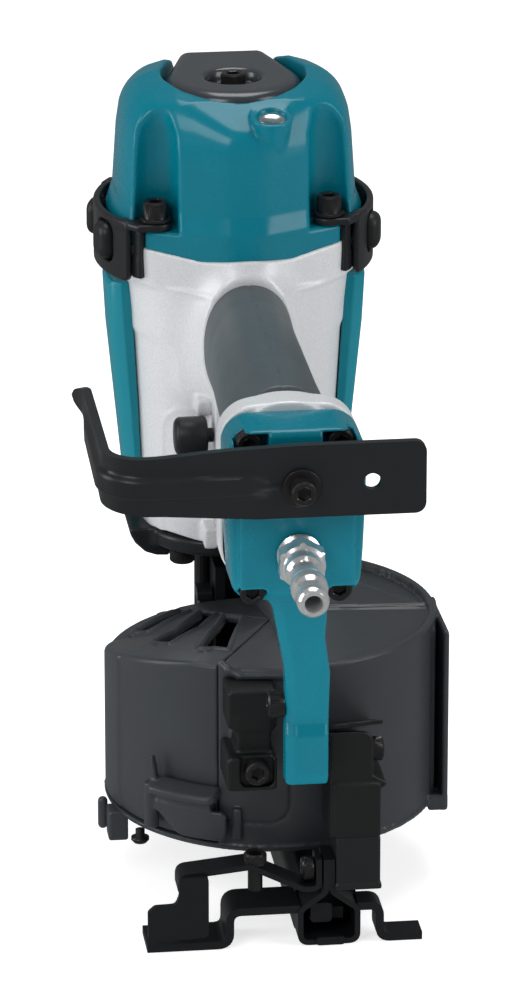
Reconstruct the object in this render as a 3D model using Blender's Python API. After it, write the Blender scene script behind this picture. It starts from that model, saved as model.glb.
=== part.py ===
"""Pneumatic coil nailer: housing, drive, nose, coil magazine and sliding gauge, as separate solids.

The driver's axis is X = 0, Y = 0 in the tool's own millimetres, the handle runs towards -Y and
Z is up from the work surface.  place() shifts that frame so that the part's origin is the middle
of its footprint, and turns millimetres into metres.
"""
import math

import bpy
import bmesh
from mathutils import Matrix, Vector

MM = 0.001
AXIS_X = 2.0            # where the driver's axis stands from the middle of the footprint
AXIS_Y = 86.0

GAP = 0.3               # clearance between pieces that touch
RING = 2.1              # exponent of the barrel's nearly round section

# Heights of the drive, up from the work surface
NOSE_TIP_Z = 8.0
PLATE_Z = (96.5, 102.2)
BARREL_Z = (102.5, 206.7)
CAP_BASE_Z = 207.0
CAP_SEAT_Z = 252.0      # floor of the deflector's recess
CAP_TOP_Z = 266.8
SLEEVE_TOP_Z = 204.0
BUMPER_TOP_Z = 129.5
PISTON_HEIGHT = 8.0
SLEEVE_BORE = 20.0
CHAMBER_R = 33.5
LOWER_BORE = 23.3

# Screws: M5 socket heads
SHANK_R = 2.5
HOLE_R = 2.8
HEAD_R = 4.25
HEAD_H = 5.0
SOCKET_R = 2.4
CAP_BOLTS = [(-30.0, -28.0), (30.0, -28.0), (30.0, 28.0), (-30.0, 28.0)]
VENT = (9.5, -31.5)     # the cap's vent boss
TAB_Z = (216.8, 219.3)

# Handle and end cap
HANDLE_END_Y = -149.7
CAP_FRONT_Y = -151.3
CAP_FACE_Y = -172.0
END_BOLTS = [(-15.0, 189.0), (15.0, 189.0), (15.0, 138.0), (-15.0, 138.0)]
END_BOLT_SEAT_Y = -165.0
HOOK_Y = -182.0
HOOK_THICK = 3.0
HOOK_BOLT = (0.3, 177.0)
HOOK_HOLE = (23.4, 178.0)

# Trigger
TRIGGER_PIVOT = (-45.0, 147.0)      # Y, Z
VALVE_Y = -60.0
SELECTOR_PIVOT = (-46.0, 147.5)     # Y, Z

# Magazine
DRUM = (4.0, -72.0)
DRUM_R = 57.0
DRUM_WALL = 2.7
FLOOR_Z = (25.0, 28.0)
DRUM_TOP_Z = 93.0
COVER_ANGLES = (120.5, 244.5)
BASE_ANGLES = (247.0, 478.0)
COVER_HINGE_ANGLE = 119.0
COVER_HINGE_R = 61.5
LATCH_ANGLES = (221.0, 249.0)
# Corners of the three vents in the cover's roof: outer pair, then inner pair
VENTS = [((-43.0, -60.0), (-37.5, -66.0), (-22.0, -43.5), (-24.5, -41.0)),
         ((-37.0, -75.5), (-31.0, -79.5), (-11.5, -49.5), (-14.5, -47.5)),
         ((-22.0, -84.0), (-11.5, -88.0), (-2.5, -60.0), (-6.0, -56.0))]

# Nose
DOOR_PIVOT = (-10.5, 7.0)
DOOR_Z = (33.0, 86.0)
DIAL_Y = 15.5
FEED_AXIS = (17.5, 56.0)            # X, Z

# Sliding gauge
GAUGE_X = 14.6
RAIL_Y = (-149.0, -45.0)
RAIL_HALF = 10.7
RAIL_WALL = 2.0
RAIL_LIP = 6.6          # half width of the slot along the rail's top
FOOT_REAR_Y = -148.6
FOOT_FRONT_Y = (-132.0, -139.0)     # left foot, right foot


# ---------------------------------------------------------------- helpers

def place(point):
    """Turn a point of the tool's frame, in millimetres, into the part's frame, in metres."""
    return Vector(((point[0] + AXIS_X) * MM, (point[1] + AXIS_Y) * MM, point[2] * MM))


def solid(name, verts, faces):
    """Make an object from millimetre points and faces, with its faces pointing out."""
    mesh = bpy.data.meshes.new(name)
    mesh.from_pydata([place(v) for v in verts], [], faces)
    work = bmesh.new()
    work.from_mesh(mesh)
    bmesh.ops.recalc_face_normals(work, faces=work.faces)
    work.to_mesh(mesh)
    work.free()
    obj = bpy.data.objects.new(name, mesh)
    bpy.context.scene.collection.objects.link(obj)
    return obj


def loft(name, rings, closed=False):
    """Skin equal loops of points; the two ends are capped unless the loops close on themselves."""
    count = len(rings[0])
    verts = [p for ring in rings for p in ring]
    faces = []
    spans = len(rings) if closed else len(rings) - 1
    for i in range(spans):
        a = i * count
        b = ((i + 1) % len(rings)) * count
        for k in range(count):
            n = (k + 1) % count
            faces.append((a + k, a + n, b + n, b + k))
    if not closed:
        faces.append(tuple(range(count)))
        faces.append(tuple(range((len(rings) - 1) * count, len(rings) * count)))
    return solid(name, verts, faces)


def basis(axis):
    """Two unit vectors square to an axis."""
    along = Vector(axis).normalized()
    helper = Vector((0, 0, 1)) if abs(along.z) < 0.9 else Vector((1, 0, 0))
    side = along.cross(helper).normalized()
    return along, side, along.cross(side)


def circle(centre, axis, radius, count):
    along, side, up = basis(axis)
    middle = Vector(centre)
    points = []
    for k in range(count):
        a = 2 * math.pi * k / count
        points.append(middle + side * (radius * math.cos(a)) + up * (radius * math.sin(a)))
    return points


def hexagon(centre, axis, radius, count):
    """A six-sided ring with the same number of points as the circles it joins."""
    along, side, up = basis(axis)
    middle = Vector(centre)
    points = []
    for k in range(count):
        a = 2 * math.pi * k / count
        turn = (a + math.pi / 6) % (math.pi / 3) - math.pi / 6
        reach = radius * math.cos(math.pi / 6) / math.cos(turn)
        points.append(middle + side * (reach * math.cos(a)) + up * (reach * math.sin(a)))
    return points


def turned(name, profile, centre=(0, 0, 0), axis=(0, 0, 1), count=24):
    """Turn (distance along the axis, radius) stations into a solid bar with flat ends."""
    along = Vector(axis).normalized()
    rings = [circle(Vector(centre) + along * s, axis, r, count) for s, r in profile]
    return loft(name, rings)


def tube(name, profile, centre=(0, 0, 0), axis=(0, 0, 1), count=24):
    """Turn a closed (distance, radius) outline that doesn't touch the axis into a ring."""
    along = Vector(axis).normalized()
    rings = [circle(Vector(centre) + along * s, axis, r, count) for s, r in profile]
    return loft(name, rings, closed=True)


def prism(name, outline, low, high, plane="XY"):
    """Extrude a flat outline along the axis that its plane leaves out."""
    def point(u, v, w):
        return {"XY": (u, v, w), "XZ": (u, w, v), "YZ": (w, u, v)}[plane]
    return loft(name, [[point(u, v, low) for u, v in outline], [point(u, v, high) for u, v in outline]])


def box(name, low, high):
    outline = [(low[0], low[1]), (high[0], low[1]), (high[0], high[1]), (low[0], high[1])]
    return prism(name, outline, low[2], high[2])


def rounded_rect(u0, u1, v0, v1, radius, steps=4):
    points = []
    for cu, cv, start in ((u1 - radius, v1 - radius, 0), (u0 + radius, v1 - radius, 90),
                          (u0 + radius, v0 + radius, 180), (u1 - radius, v0 + radius, 270)):
        for k in range(steps + 1):
            a = math.radians(start + 90 * k / steps)
            points.append((cu + radius * math.cos(a), cv + radius * math.sin(a)))
    return points


def arc(centre, radius, start, end, steps):
    """Points on an arc, angles in degrees."""
    points = []
    for k in range(steps + 1):
        a = math.radians(start + (end - start) * k / steps)
        points.append((centre[0] + radius * math.cos(a), centre[1] + radius * math.sin(a)))
    return points


def sector(name, centre, radii, angles, heights, steps):
    """A curved plate: part of a ring between two radii, two angles and two heights."""
    outline = arc(centre, radii[1], angles[0], angles[1], steps)
    outline += arc(centre, radii[0], angles[1], angles[0], steps)
    return prism(name, outline, heights[0], heights[1])


def oval(centre, half_u, half_v, power, count):
    """A super-ellipse as (u, v) points; power 2 is an ellipse."""
    points = []
    for k in range(count):
        a = 2 * math.pi * k / count
        c = math.cos(a)
        s = math.sin(a)
        u = math.copysign(abs(c) ** (2 / power), c) * half_u
        v = math.copysign(abs(s) ** (2 / power), s) * half_v
        points.append((centre[0] + u, centre[1] + v))
    return points


def combine(target, tools, operation):
    """Apply one exact Boolean per tool to the target's mesh, and remove the tools."""
    for tool in tools:
        change = target.modifiers.new("change", "BOOLEAN")
        change.operation = operation
        change.object = tool
        bpy.context.view_layer.update()
        graph = bpy.context.evaluated_depsgraph_get()
        mesh = bpy.data.meshes.new_from_object(target.evaluated_get(graph))
        target.modifiers.remove(change)
        target.data = mesh
        bpy.data.objects.remove(tool)
    return target


def join(target, *tools):
    return combine(target, tools, "UNION")


def cut(target, *tools):
    return combine(target, tools, "DIFFERENCE")


def colour(name, rgb, roughness, metallic=0.0):
    made = bpy.data.materials.new(name)
    made.use_nodes = True
    shader = made.node_tree.nodes["Principled BSDF"]
    shader.inputs["Base Color"].default_value = (*rgb, 1.0)
    shader.inputs["Roughness"].default_value = roughness
    shader.inputs["Metallic"].default_value = metallic
    return made


def finish(obj, name, material, pivot=(0, 0, 0)):
    """Name a piece, give it its material and put its origin on its own pivot."""
    origin = place(pivot)
    obj.name = name
    obj.data.name = name
    obj.data.transform(Matrix.Translation(-origin))
    obj.location = origin
    obj.data.materials.clear()
    obj.data.materials.append(material)
    obj.data.shade_smooth()
    obj.data.set_sharp_from_angle(angle=math.radians(35))
    return obj


def socket_screw(name, seat, axis, material, shank, head=HEAD_H, flange=0.0):
    """A socket-head screw: seat is under its head, and axis points out of the head."""
    along = Vector(axis).normalized()
    middle = Vector(seat)
    count = 8
    stations = [(-shank, SHANK_R), (0.0, SHANK_R)]
    if flange:
        stations += [(0.0, flange), (1.2, flange), (1.2, HEAD_R)]
    else:
        stations += [(0.0, HEAD_R)]
    stations += [(head - 0.5, HEAD_R), (head, HEAD_R - 0.5)]
    rings = [circle(middle + along * s, axis, r, count) for s, r in stations]
    rings.append(hexagon(middle + along * head, axis, SOCKET_R, count))
    rings.append(hexagon(middle + along * (head - 2.6), axis, SOCKET_R, count))
    return finish(loft(name, rings), name, material, seat)


def coil_spring(name, centre, radius, wire, low, high, turns, material):
    """An open coil spring about a vertical axis, with four-sided wire."""
    steps = turns * 9
    rings = []
    for i in range(steps + 1):
        a = 2 * math.pi * i / 9
        z = low + wire + (high - low - 2 * wire) * i / steps
        out = Vector((math.cos(a), math.sin(a), 0))
        middle = Vector((centre[0], centre[1], z)) + out * radius
        ring = []
        for k in range(4):
            b = 2 * math.pi * k / 4
            ring.append(middle + out * (wire * math.cos(b)) + Vector((0, 0, wire * math.sin(b))))
        rings.append(ring)
    return finish(loft(name, rings), name, material, (centre[0], centre[1], low))


# ---------------------------------------------------------------- materials

def make_materials():
    return {
        "teal": colour("teal_paint", (0.0, 0.20, 0.23), 0.28),
        "cast": colour("cast_magnesium", (0.62, 0.64, 0.66), 0.5, 0.7),
        "steel": colour("bright_steel", (0.72, 0.72, 0.72), 0.25, 1.0),
        "black": colour("black_steel", (0.015, 0.016, 0.018), 0.4, 0.3),
        "plastic": colour("black_plastic", (0.03, 0.033, 0.037), 0.5),
        "rubber": colour("dark_rubber", (0.035, 0.037, 0.04), 0.7),
        "seal": colour("seal_rubber", (0.02, 0.02, 0.02), 0.8),
    }


# ---------------------------------------------------------------- drive

def barrel_half(z):
    """Half width and half depth of the barrel's outside at a height."""
    table = [(102.5, 33.0, 33.0), (109.0, 34.5, 34.5), (150.0, 36.4, 36.6), (185.0, 38.4, 39.0),
             (194.5, 39.4, 40.0), (197.5, 43.0, 41.5), (206.7, 43.6, 42.0)]
    for (z0, x0, y0), (z1, x1, y1) in zip(table, table[1:]):
        if z <= z1:
            t = (z - z0) / (z1 - z0)
            return x0 + (x1 - x0) * t, y0 + (y1 - y0) * t
    return table[-1][1:]


def barrel_ring(z):
    half_x, half_y = barrel_half(z)
    return [(x, y, z) for x, y in oval((0, 0), half_x, half_y, RING, 32)]


def handle_ring(y, half_x, half_z, middle_z, count=20):
    return [(x, y, z) for x, z in oval((0, middle_z), half_x, half_z, 2.2, count)]


HANDLE = [(-42.3, 12.6, 19.9, 178.9), (-60.0, 12.3, 19.0, 177.9), (-110.0, 13.6, 18.6, 175.5),
          (-141.0, 14.9, 19.0, 174.5)]


def make_housing(mats):
    body = loft("housing", [barrel_ring(z) for z in (102.5, 109, 150, 185, 194.5, 197.5, 206.7)])
    root = [(-24.0, 22.0, 26.0, 180.0), (-36.0, 20.0, 24.0, 179.5), (-42.0, 18.6, 22.6, 179.0)]
    handle = loft("handle", [handle_ring(*r) for r in root + HANDLE])
    flange = prism("flange", rounded_rect(-22.4, 23.4, 133.0, 193.6, 9.0), HANDLE_END_Y, -140.0, "XZ")
    boss = turned("boss", [(150.0, 12.0), (166.0, 12.0)], (0, VALVE_Y, 0), count=20)
    ears = []
    for side in (-1, 1):
        x = sorted((side * 9.3, side * 12.3))
        ears.append(box("ear", (x[0], -50.0, 141.0), (x[1], -36.0, 164.0)))
    join(body, handle, flange, boss, *ears)
    chamber = turned("chamber", [(101.0, LOWER_BORE), (121.0, LOWER_BORE), (121.0, CHAMBER_R),
                                 (208.0, CHAMBER_R)], count=32)
    bore = loft("bore", [handle_ring(y, half, 14.2, z, 16) for y, half, z in
                         ((-22, 9.4, 178.5), (-60, 9.4, 177.5), (-110, 10.2, 175.5), (-151, 10.8, 174.0))])
    pin_hole = turned("pin_hole", [(-14.0, 1.9), (14.0, 1.9)], (0, *TRIGGER_PIVOT), (1, 0, 0), 12)
    valve_hole = turned("valve_hole", [(149.0, 8.3), (168.0, 8.3)], (0, VALVE_Y, 0), count=20)
    holes = []
    for x, y in CAP_BOLTS:
        holes.append(turned("hole", [(199.7, HOLE_R), (208.0, HOLE_R)], (x, y, 0), count=10))
    for x, z in END_BOLTS:
        holes.append(turned("hole", [(-151.0, HOLE_R), (-141.5, HOLE_R)], (x, 0, z), (0, 1, 0), 10))
    cut(body, chamber, bore, pin_hole, valve_hole, *holes)
    finish(body, "housing", mats["cast"])


def make_drive(mats):
    low = BARREL_Z[0] + GAP
    wall = SLEEVE_BORE + 3.0
    finish(tube("s", [(low, SLEEVE_BORE), (SLEEVE_TOP_Z, SLEEVE_BORE), (SLEEVE_TOP_Z, wall), (low, wall)],
                count=32), "cylinder_sleeve", mats["steel"])
    finish(tube("b", [(low, 5.0), (BUMPER_TOP_Z, 5.0), (BUMPER_TOP_Z, 17.0), (BUMPER_TOP_Z - 3, 19.7),
                      (low, 19.7)], count=24), "driver_bumper", mats["seal"])
    top = SLEEVE_TOP_Z - 0.4
    base = top - PISTON_HEIGHT
    piston = turned("piston", [(base, 19.0), (base + 2.6, 19.0), (base + 2.6, 17.6), (base + 5.4, 17.6),
                               (base + 5.4, 19.0), (top, 19.0)], count=28)
    blade = box("blade", (-3.5, -1.5, 73.0), (3.5, 1.5, base + 1.0))
    finish(join(piston, blade), "piston_driver", mats["steel"], (0, 0, base))
    finish(tube("r", [(base + 2.8, 17.9), (base + 5.2, 17.9), (base + 5.2, 19.8), (base + 2.8, 19.8)],
                count=28), "piston_ring", mats["seal"], (0, 0, base))
    finish(tube("v", [(204.4, 13.0), (222.0, 13.0), (222.0, 21.0), (210.0, 21.0), (210.0, 28.0),
                      (222.0, 28.0), (222.0, 30.5), (204.4, 30.5)], count=28),
           "head_valve", mats["plastic"], (0, 0, 204.4))
    coil_spring("head_valve_spring", (0, 0), 24.5, 1.2, 210.4, 237.6, 4, mats["steel"])
    finish(tube("g", [(207.0, 34.6), (208.0, 34.6), (208.0, 37.6), (207.0, 37.6)], count=32),
           "cap_gasket", mats["seal"])


def cap_ring(z, half_x, rear, front, count=36):
    """One level of the cap; the rear half may be shallower than the front half."""
    points = []
    for x, y in oval((0, 0), half_x, 1.0, RING, count):
        points.append((x, y * (rear if y < 0 else front), z))
    return points


def make_cap(mats):
    levels = [(207.0, 43.4, 42.0, 42.6), (210.5, 44.3, 42.8, 43.0), (217.3, 44.3, 42.6, 43.0),
              (220.0, 42.8, 41.4, 41.8), (230.0, 42.4, 40.8, 41.2), (245.5, 41.4, 39.4, 40.4),
              (251.0, 40.4, 37.8, 39.6), (254.5, 39.4, 33.4, 37.8), (257.8, 38.0, 29.0, 35.4),
              (260.7, 36.2, 25.0, 32.0), (263.6, 33.4, 17.0, 25.0), (265.6, 29.4, 9.0, 17.0),
              (CAP_TOP_Z, 25.6, 3.0, 10.0)]
    body = loft("cap", [cap_ring(*level) for level in levels])
    join(body, turned("boss", [(240.0, 7.2), (256.0, 7.2), (256.6, 6.6)], (*VENT, 0), count=18))
    cavity = turned("cavity", [(206.0, 38.0), (208.3, 38.0), (208.3, 33.0), (238.0, 33.0)], count=32)
    recess = prism("recess", deflector_outline(-1.4), CAP_SEAT_Z, 271.0)
    channel = box("channel", (-16.0, 30.0, CAP_SEAT_Z), (16.0, 45.0, 271.0))
    tools = [cavity, recess, channel]
    for x, y in CAP_BOLTS:
        tools.append(turned("flute", [(TAB_Z[0] - GAP, 6.3), (258.0, 6.3), (262.0, 3.0)], (x, y, 0), count=14))
        tools.append(turned("hole", [(206.0, HOLE_R), (218.0, HOLE_R)], (x, y, 0), count=10))
    for k in range(4):
        a = math.radians(45 + 90 * k)
        spot = (15 * math.cos(a), 15 * math.sin(a), 0)
        tools.append(turned("port", [(237.0, 3.5), (253.0, 3.5)], spot, count=10))
    tools.append(turned("bolt_hole", [(241.0, HOLE_R), (253.0, HOLE_R)], count=10))
    tools.append(turned("vent_hole", [(247.0, 5.0), (262.0, 5.0)], (*VENT, 0), count=14))
    cut(body, *tools)
    finish(body, "cylinder_cap", mats["teal"])
    finish(turned("p", [(247.3, 4.7), (254.6, 4.7), (255.3, 4.0)], (*VENT, 0), count=14),
           "vent_plug", mats["steel"])


def deflector_outline(shrink):
    """Round at the handle end, running out to a flat spout at the front."""
    radius = 23.6 - shrink
    half = 14.6 - shrink
    end = 36.0 - shrink
    corner = math.hypot(half, end - 2.0)
    meet = math.degrees(math.atan2(end - 2.0, half) - math.acos(radius / corner))
    points = arc((0, 0), radius, 180 - meet, 360 + meet, 22)
    points += [(half, end - 2.0), (half - 2.0, end), (-half + 2.0, end), (-half, end - 2.0)]
    return points


def make_deflector(mats):
    levels = [(CAP_SEAT_Z + GAP, 0.0), (258.4, 0.0), (260.8, 1.4), (262.1, 4.0), (262.5, 7.4)]
    rings = [[(x, y, z) for x, y in deflector_outline(shrink)] for z, shrink in levels]
    body = loft("deflector", rings)
    duct = prism("duct", deflector_outline(2.6), 250.0, 255.8)
    mouth = box("mouth", (-11.4, 20.0, 250.0), (11.4, 40.0, 259.4))
    post = turned("post", [(249.0, 6.0), (257.0, 6.0)], count=16)
    cut(duct, post)
    dish = turned("dish", [(258.0, 8.5), (260.4, 9.4), (264.0, 10.6)], count=20)
    bolt_hole = turned("hole", [(250.0, HOLE_R), (260.0, HOLE_R)], count=10)
    cut(body, duct, mouth, dish, bolt_hole)
    finish(body, "exhaust_deflector", mats["plastic"])
    socket_screw("deflector_bolt", (0, 0, 258.0 + GAP), (0, 0, 1), mats["black"], 16.5, 5.4)


def make_bumpers(mats):
    """Steel straps over the housing's shoulders, each with a rubber pad looking through it."""
    strap = (46.4, 48.8)
    for side, name in ((180, "left"), (0, "right")):
        body = sector("strap", (0, 0), strap, (side - 33, side + 33), (198.0, TAB_Z[1]), 9)
        tools = []
        for x, y in CAP_BOLTS:
            if (x < 0) != (name == "left"):
                continue
            tools.append(turned("tab", [(TAB_Z[0], 5.8), (TAB_Z[1], 5.8)], (x, y, 0), count=16))
            tools.append(prism("bridge", bridge_outline(x, y), TAB_Z[0], TAB_Z[1]))
        join(body, *tools)
        windows = []
        for turn in (-17, 17):
            windows.append(sector("window", (0, 0), (44.0, 51.0), (side + turn - 6.5, side + turn + 6.5),
                                  (202.3, 216.6), 3))
        holes = [turned("hole", [(TAB_Z[0] - 1, HOLE_R), (TAB_Z[1] + 1, HOLE_R)], (x, y, 0), count=10)
                 for x, y in CAP_BOLTS if (x < 0) == (name == "left")]
        cut(body, *windows, *holes)
        finish(body, "bumper_bracket_" + name, mats["black"])
        pad = sector("liner", (0, 0), (44.4, 46.1), (side - 38, side + 38), (199.2, 206.4), 8)
        studs = []
        for turn in (-17, 17):
            studs.append(sector("stud", (0, 0), (45.0, 51.6), (side + turn - 6.1, side + turn + 6.1),
                                (202.8, 216.2), 3))
        finish(join(pad, *studs), "side_bumper_" + name, mats["rubber"])


def bridge_outline(x, y):
    """A tongue from a cap screw straight out to the strap's end."""
    away = math.atan2(y, x)
    along = Vector((math.cos(away), math.sin(away)))
    toward = Vector((-along.y, along.x)) * math.copysign(1, -x * y)
    start = Vector((x, y)) + along * 3.5
    tip = along * 48.6
    corners = [start - toward * 4.0, tip - toward * 4.0, tip * 0.985 + toward * 10.5, along * 46.0 + toward * 10.5]
    return [(c.x, c.y) for c in corners]


def make_side_panels(mats):
    thickness = [(105.5, 3.4), (109.0, 3.6), (123.0, 4.2), (150.0, 5.6), (175.0, 6.6), (186.5, 6.6), (194.0, 5.9)]
    for side, name in ((-1, "left"), (1, "right")):
        rings = []
        for z, thick in thickness:
            half_x, half_y = barrel_half(z)
            outer = []
            inner = []
            for k in range(9):
                a = math.radians(-28 + 56 * k / 8)
                edge = 1.0 - 0.45 * abs(k - 4) / 4
                c = math.cos(a)
                s = math.sin(a)
                reach = (abs(c / half_x) ** RING + abs(s / half_y) ** RING) ** (-1 / RING)
                near = reach + 0.5
                far = reach + 0.5 + thick * edge
                outer.append((side * far * c, far * s, z))
                inner.append((side * near * c, near * s, z))
            rings.append(outer + inner[::-1])
        finish(loft("panel", rings), "side_panel_" + name, mats["teal"])


# ---------------------------------------------------------------- handle

def make_handle(mats):
    grip = loft("grip", [handle_ring(y, hx + 2.9, hz + 2.9, z) for y, hx, hz, z in
                         [(-42.5, *HANDLE[0][1:]), HANDLE[1], HANDLE[2], (-139.6, *HANDLE[3][1:])]])
    core = loft("core", [handle_ring(y, hx + GAP, hz + GAP, z) for y, hx, hz, z in
                         [(-30.0, *HANDLE[0][1:])] + HANDLE + [(-150.0, *HANDLE[3][1:])]])
    saddle = box("saddle", (-13.0, -73.0, 140.0), (13.0, -40.0, 167.0))
    finish(cut(grip, core, saddle), "grip_sleeve", mats["rubber"])

    gasket = prism("gasket", rounded_rect(-22.0, 23.0, 133.4, 193.2, 8.6), -151.0, -150.0, "XZ")
    tools = [prism("w", rounded_rect(-10.5, 10.5, 146.0, 182.0, 6.0), -153, -149, "XZ")]
    for x, z in END_BOLTS:
        tools.append(turned("hole", [(-153.0, HOLE_R), (-149.0, HOLE_R)], (x, 0, z), (0, 1, 0), 10))
    finish(cut(gasket, *tools), "end_gasket", mats["seal"])


PLUG_BASE = (0.0, -168.0, 152.6)
PLUG_AXIS = (0.0, -math.cos(math.radians(5)), -math.sin(math.radians(5)))


def make_end_cap(mats):
    rings = []
    for y, inset in ((CAP_FRONT_Y, 0.0), (-167.0, 0.0), (-170.5, 1.2), (CAP_FACE_Y, 3.6)):
        outline = rounded_rect(-22.2 + inset, 23.2 - inset, 132.2 + inset, 192.2 - inset, 9.0 - inset * 0.5)
        rings.append([(x, y, z) for x, z in outline])
    body = loft("end_cap", rings)
    face = prism("face", rounded_rect(-12.6, 13.2, 141.0, 167.0, 4.0), -175.4, -170.0, "XZ")
    arm = loft("arm", [
        [(x, y, z) for x, y in rounded_rect(x0, x1, y0, y1, 1.6, 2)] for z, x0, x1, y0, y1 in
        ((138.0, -9.0, 12.0, -170.0, -153.0), (128.0, -6.5, 10.5, -169.0, -155.0),
         (118.0, -5.4, 9.6, -167.4, -157.0), (104.0, -3.0, 12.0, -163.6, -153.6),
         (80.0, -1.0, 13.2, -158.6, -149.0), (78.4, -1.4, 13.6, -160.4, -149.0),
         (65.5, -1.4, 13.6, -160.4, -149.0), (62.5, -0.6, 12.8, -158.6, -150.0))])
    join(body, face, arm)
    cavity = prism("cavity", rounded_rect(-10.5, 10.5, 148.0, 182.0, 6.0), -164.0, -150.0, "XZ")
    tools = [cavity]
    for x, z in END_BOLTS:
        tools.append(turned("pocket", [(-175.0, 5.6), (END_BOLT_SEAT_Y, 5.6)], (x, 0, z), (0, 1, 0), 14))
        tools.append(turned("hole", [(-166.0, HOLE_R), (-150.0, HOLE_R)], (x, 0, z), (0, 1, 0), 10))
    bore_start = Vector(PLUG_BASE) - Vector(PLUG_AXIS) * 6.0
    tools.append(turned("bore", [(0.0, 6.7), (20.0, 6.7)], bore_start, PLUG_AXIS, 16))
    tools.append(turned("hook_hole", [(-174.0, HOLE_R), (-166.6, HOLE_R)], (HOOK_BOLT[0], 0, HOOK_BOLT[1]),
                        (0, 1, 0), 10))
    tools.append(turned("arm_hole", [(-4.0, 2.3), (15.0, 2.3)], (0, -154.0, 87.0), (1, 0, 0), 10))
    finish(cut(body, *tools), "end_cap", mats["teal"])
    for k, (x, z) in enumerate(END_BOLTS):
        socket_screw("end_cap_bolt_%d" % (k + 1), (x, END_BOLT_SEAT_Y - GAP, z), (0, -1, 0), mats["black"], 22.5)


def make_plug(mats):
    outer = [(0.0, 6.4), (8.8, 6.4), (8.8, 7.0), (10.2, 7.0), (10.2, 7.9), (16.4, 7.9), (17.4, 6.2),
             (22.0, 5.8), (23.6, 4.4), (29.0, 4.4), (31.5, 5.9), (36.5, 5.9), (39.0, 5.0), (43.5, 5.2),
             (46.8, 4.0)]
    bore = [(46.8, 2.6), (0.0, 2.6)]
    finish(tube("plug", outer + bore, PLUG_BASE, PLUG_AXIS, 18), "air_plug", mats["steel"])


def hook_path():
    """Centreline points of the bent strip with its lower and upper edge."""
    low, high = 166.6, 191.2
    points = [(41.0, HOOK_Y, low + 2.5, high - 2.5), (39.5, HOOK_Y, low + 0.6, high - 0.6)]
    points += [(x, HOOK_Y, low, high) for x in (37.0, 20.0, 0.0, -14.0)]
    points += [(-30.0, HOOK_Y, low + 1.2, high - 1.3), (-42.0, HOOK_Y, low + 2.2, high - 2.4),
               (-50.0, HOOK_Y, low + 2.4, high - 2.8)]
    for k in range(1, 7):
        a = math.radians(-90 - 15 * k)
        points.append((-50.0 + 12 * math.cos(a), HOOK_Y + 12 + 12 * math.sin(a), low + 2.4 + 0.2 * k, high - 2.8))
    points += [(-62.0, -160.0, 171.0, 188.6), (-62.0, -140.0, 175.4, 189.0), (-62.2, -122.0, 179.4, 189.2),
               (-63.4, -112.0, 181.0, 189.0), (-65.6, -105.0, 182.0, 188.0)]
    return points


def make_hook(mats):
    points = hook_path()
    half = HOOK_THICK / 2
    rings = []
    for i, (x, y, low, high) in enumerate(points):
        before = points[max(i - 1, 0)]
        after = points[min(i + 1, len(points) - 1)]
        way = Vector((after[0] - before[0], after[1] - before[1])).normalized()
        side = Vector((-way.y, way.x)) * half
        rings.append([(x + side.x, y + side.y, low), (x + side.x, y + side.y, high),
                      (x - side.x, y - side.y, high), (x - side.x, y - side.y, low)])
    body = loft("hook", rings)
    tools = [turned("hole", [(-185.0, r), (-179.0, r)], (x, 0, z), (0, 1, 0), 14)
             for (x, z), r in ((HOOK_BOLT, HOLE_R), (HOOK_HOLE, 2.8))]
    finish(cut(body, *tools), "hook", mats["black"])
    x, z = HOOK_BOLT
    finish(tube("spacer", [(-180.2, HOLE_R), (-172.3, HOLE_R), (-172.3, 7.0), (-180.2, 7.0)], (x, 0, z),
                (0, 1, 0), 18), "hook_spacer", mats["black"])
    socket_screw("hook_bolt", (x, HOOK_Y - half - GAP, z), (0, -1, 0), mats["black"], 16.5, 7.0, 6.4)


# ---------------------------------------------------------------- trigger

def make_trigger(mats):
    y, z = TRIGGER_PIVOT
    outline = [(-41.5, 149.6), (-47.6, 149.6), (-52.0, 146.0), (-66.0, 144.6), (-73.0, 142.0),
               (-73.6, 139.6), (-66.0, 138.6), (-58.0, 135.0), (-53.0, 129.0), (-49.5, 124.0),
               (-46.6, 125.0), (-46.6, 133.0), (-44.0, 141.0), (-41.5, 143.6)]
    lever = prism("trigger", outline, -8.0, 8.0, "YZ")
    cut(lever, turned("hole", [(-9.0, 1.9), (9.0, 1.9)], (0, y, z), (1, 0, 0), 12))
    finish(lever, "trigger", mats["plastic"], (0, y, z))
    finish(turned("pin", [(-12.2, 1.6), (12.2, 1.6)], (0, y, z), (1, 0, 0), 12), "trigger_pin", mats["steel"],
           (0, y, z))
    valve = tube("valve", [(149.6, 2.6), (163.4, 2.6), (163.4, 8.0), (149.6, 8.0)],
                 (0, VALVE_Y, 0), count=20)
    finish(valve, "trigger_valve_body", mats["plastic"])
    finish(turned("stem", [(145.5, 1.6), (146.0, 2.2), (162.0, 2.2)], (0, VALVE_Y, 0), count=12),
           "trigger_valve_stem", mats["steel"], (0, VALVE_Y, 145.5))

    y, z = SELECTOR_PIVOT
    knob = turned("knob", [(-26.0, 5.6), (-25.0, 6.6), (-15.6, 6.6), (-14.8, 5.8)], (0, y, z), (1, 0, 0), 20)
    shaft = turned("shaft", [(-15.4, 2.5), (-12.6, 2.5)], (0, y, z), (1, 0, 0), 12)
    finger = prism("finger", [(y - 2.2, z), (y + 2.2, z), (y + 1.6, z - 10.5), (y - 1.6, z - 10.5)],
                   -24.5, -16.5, "YZ")
    finish(join(knob, shaft, finger), "mode_selector", mats["plastic"], (-14.8, y, z))


# ---------------------------------------------------------------- nose

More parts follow.
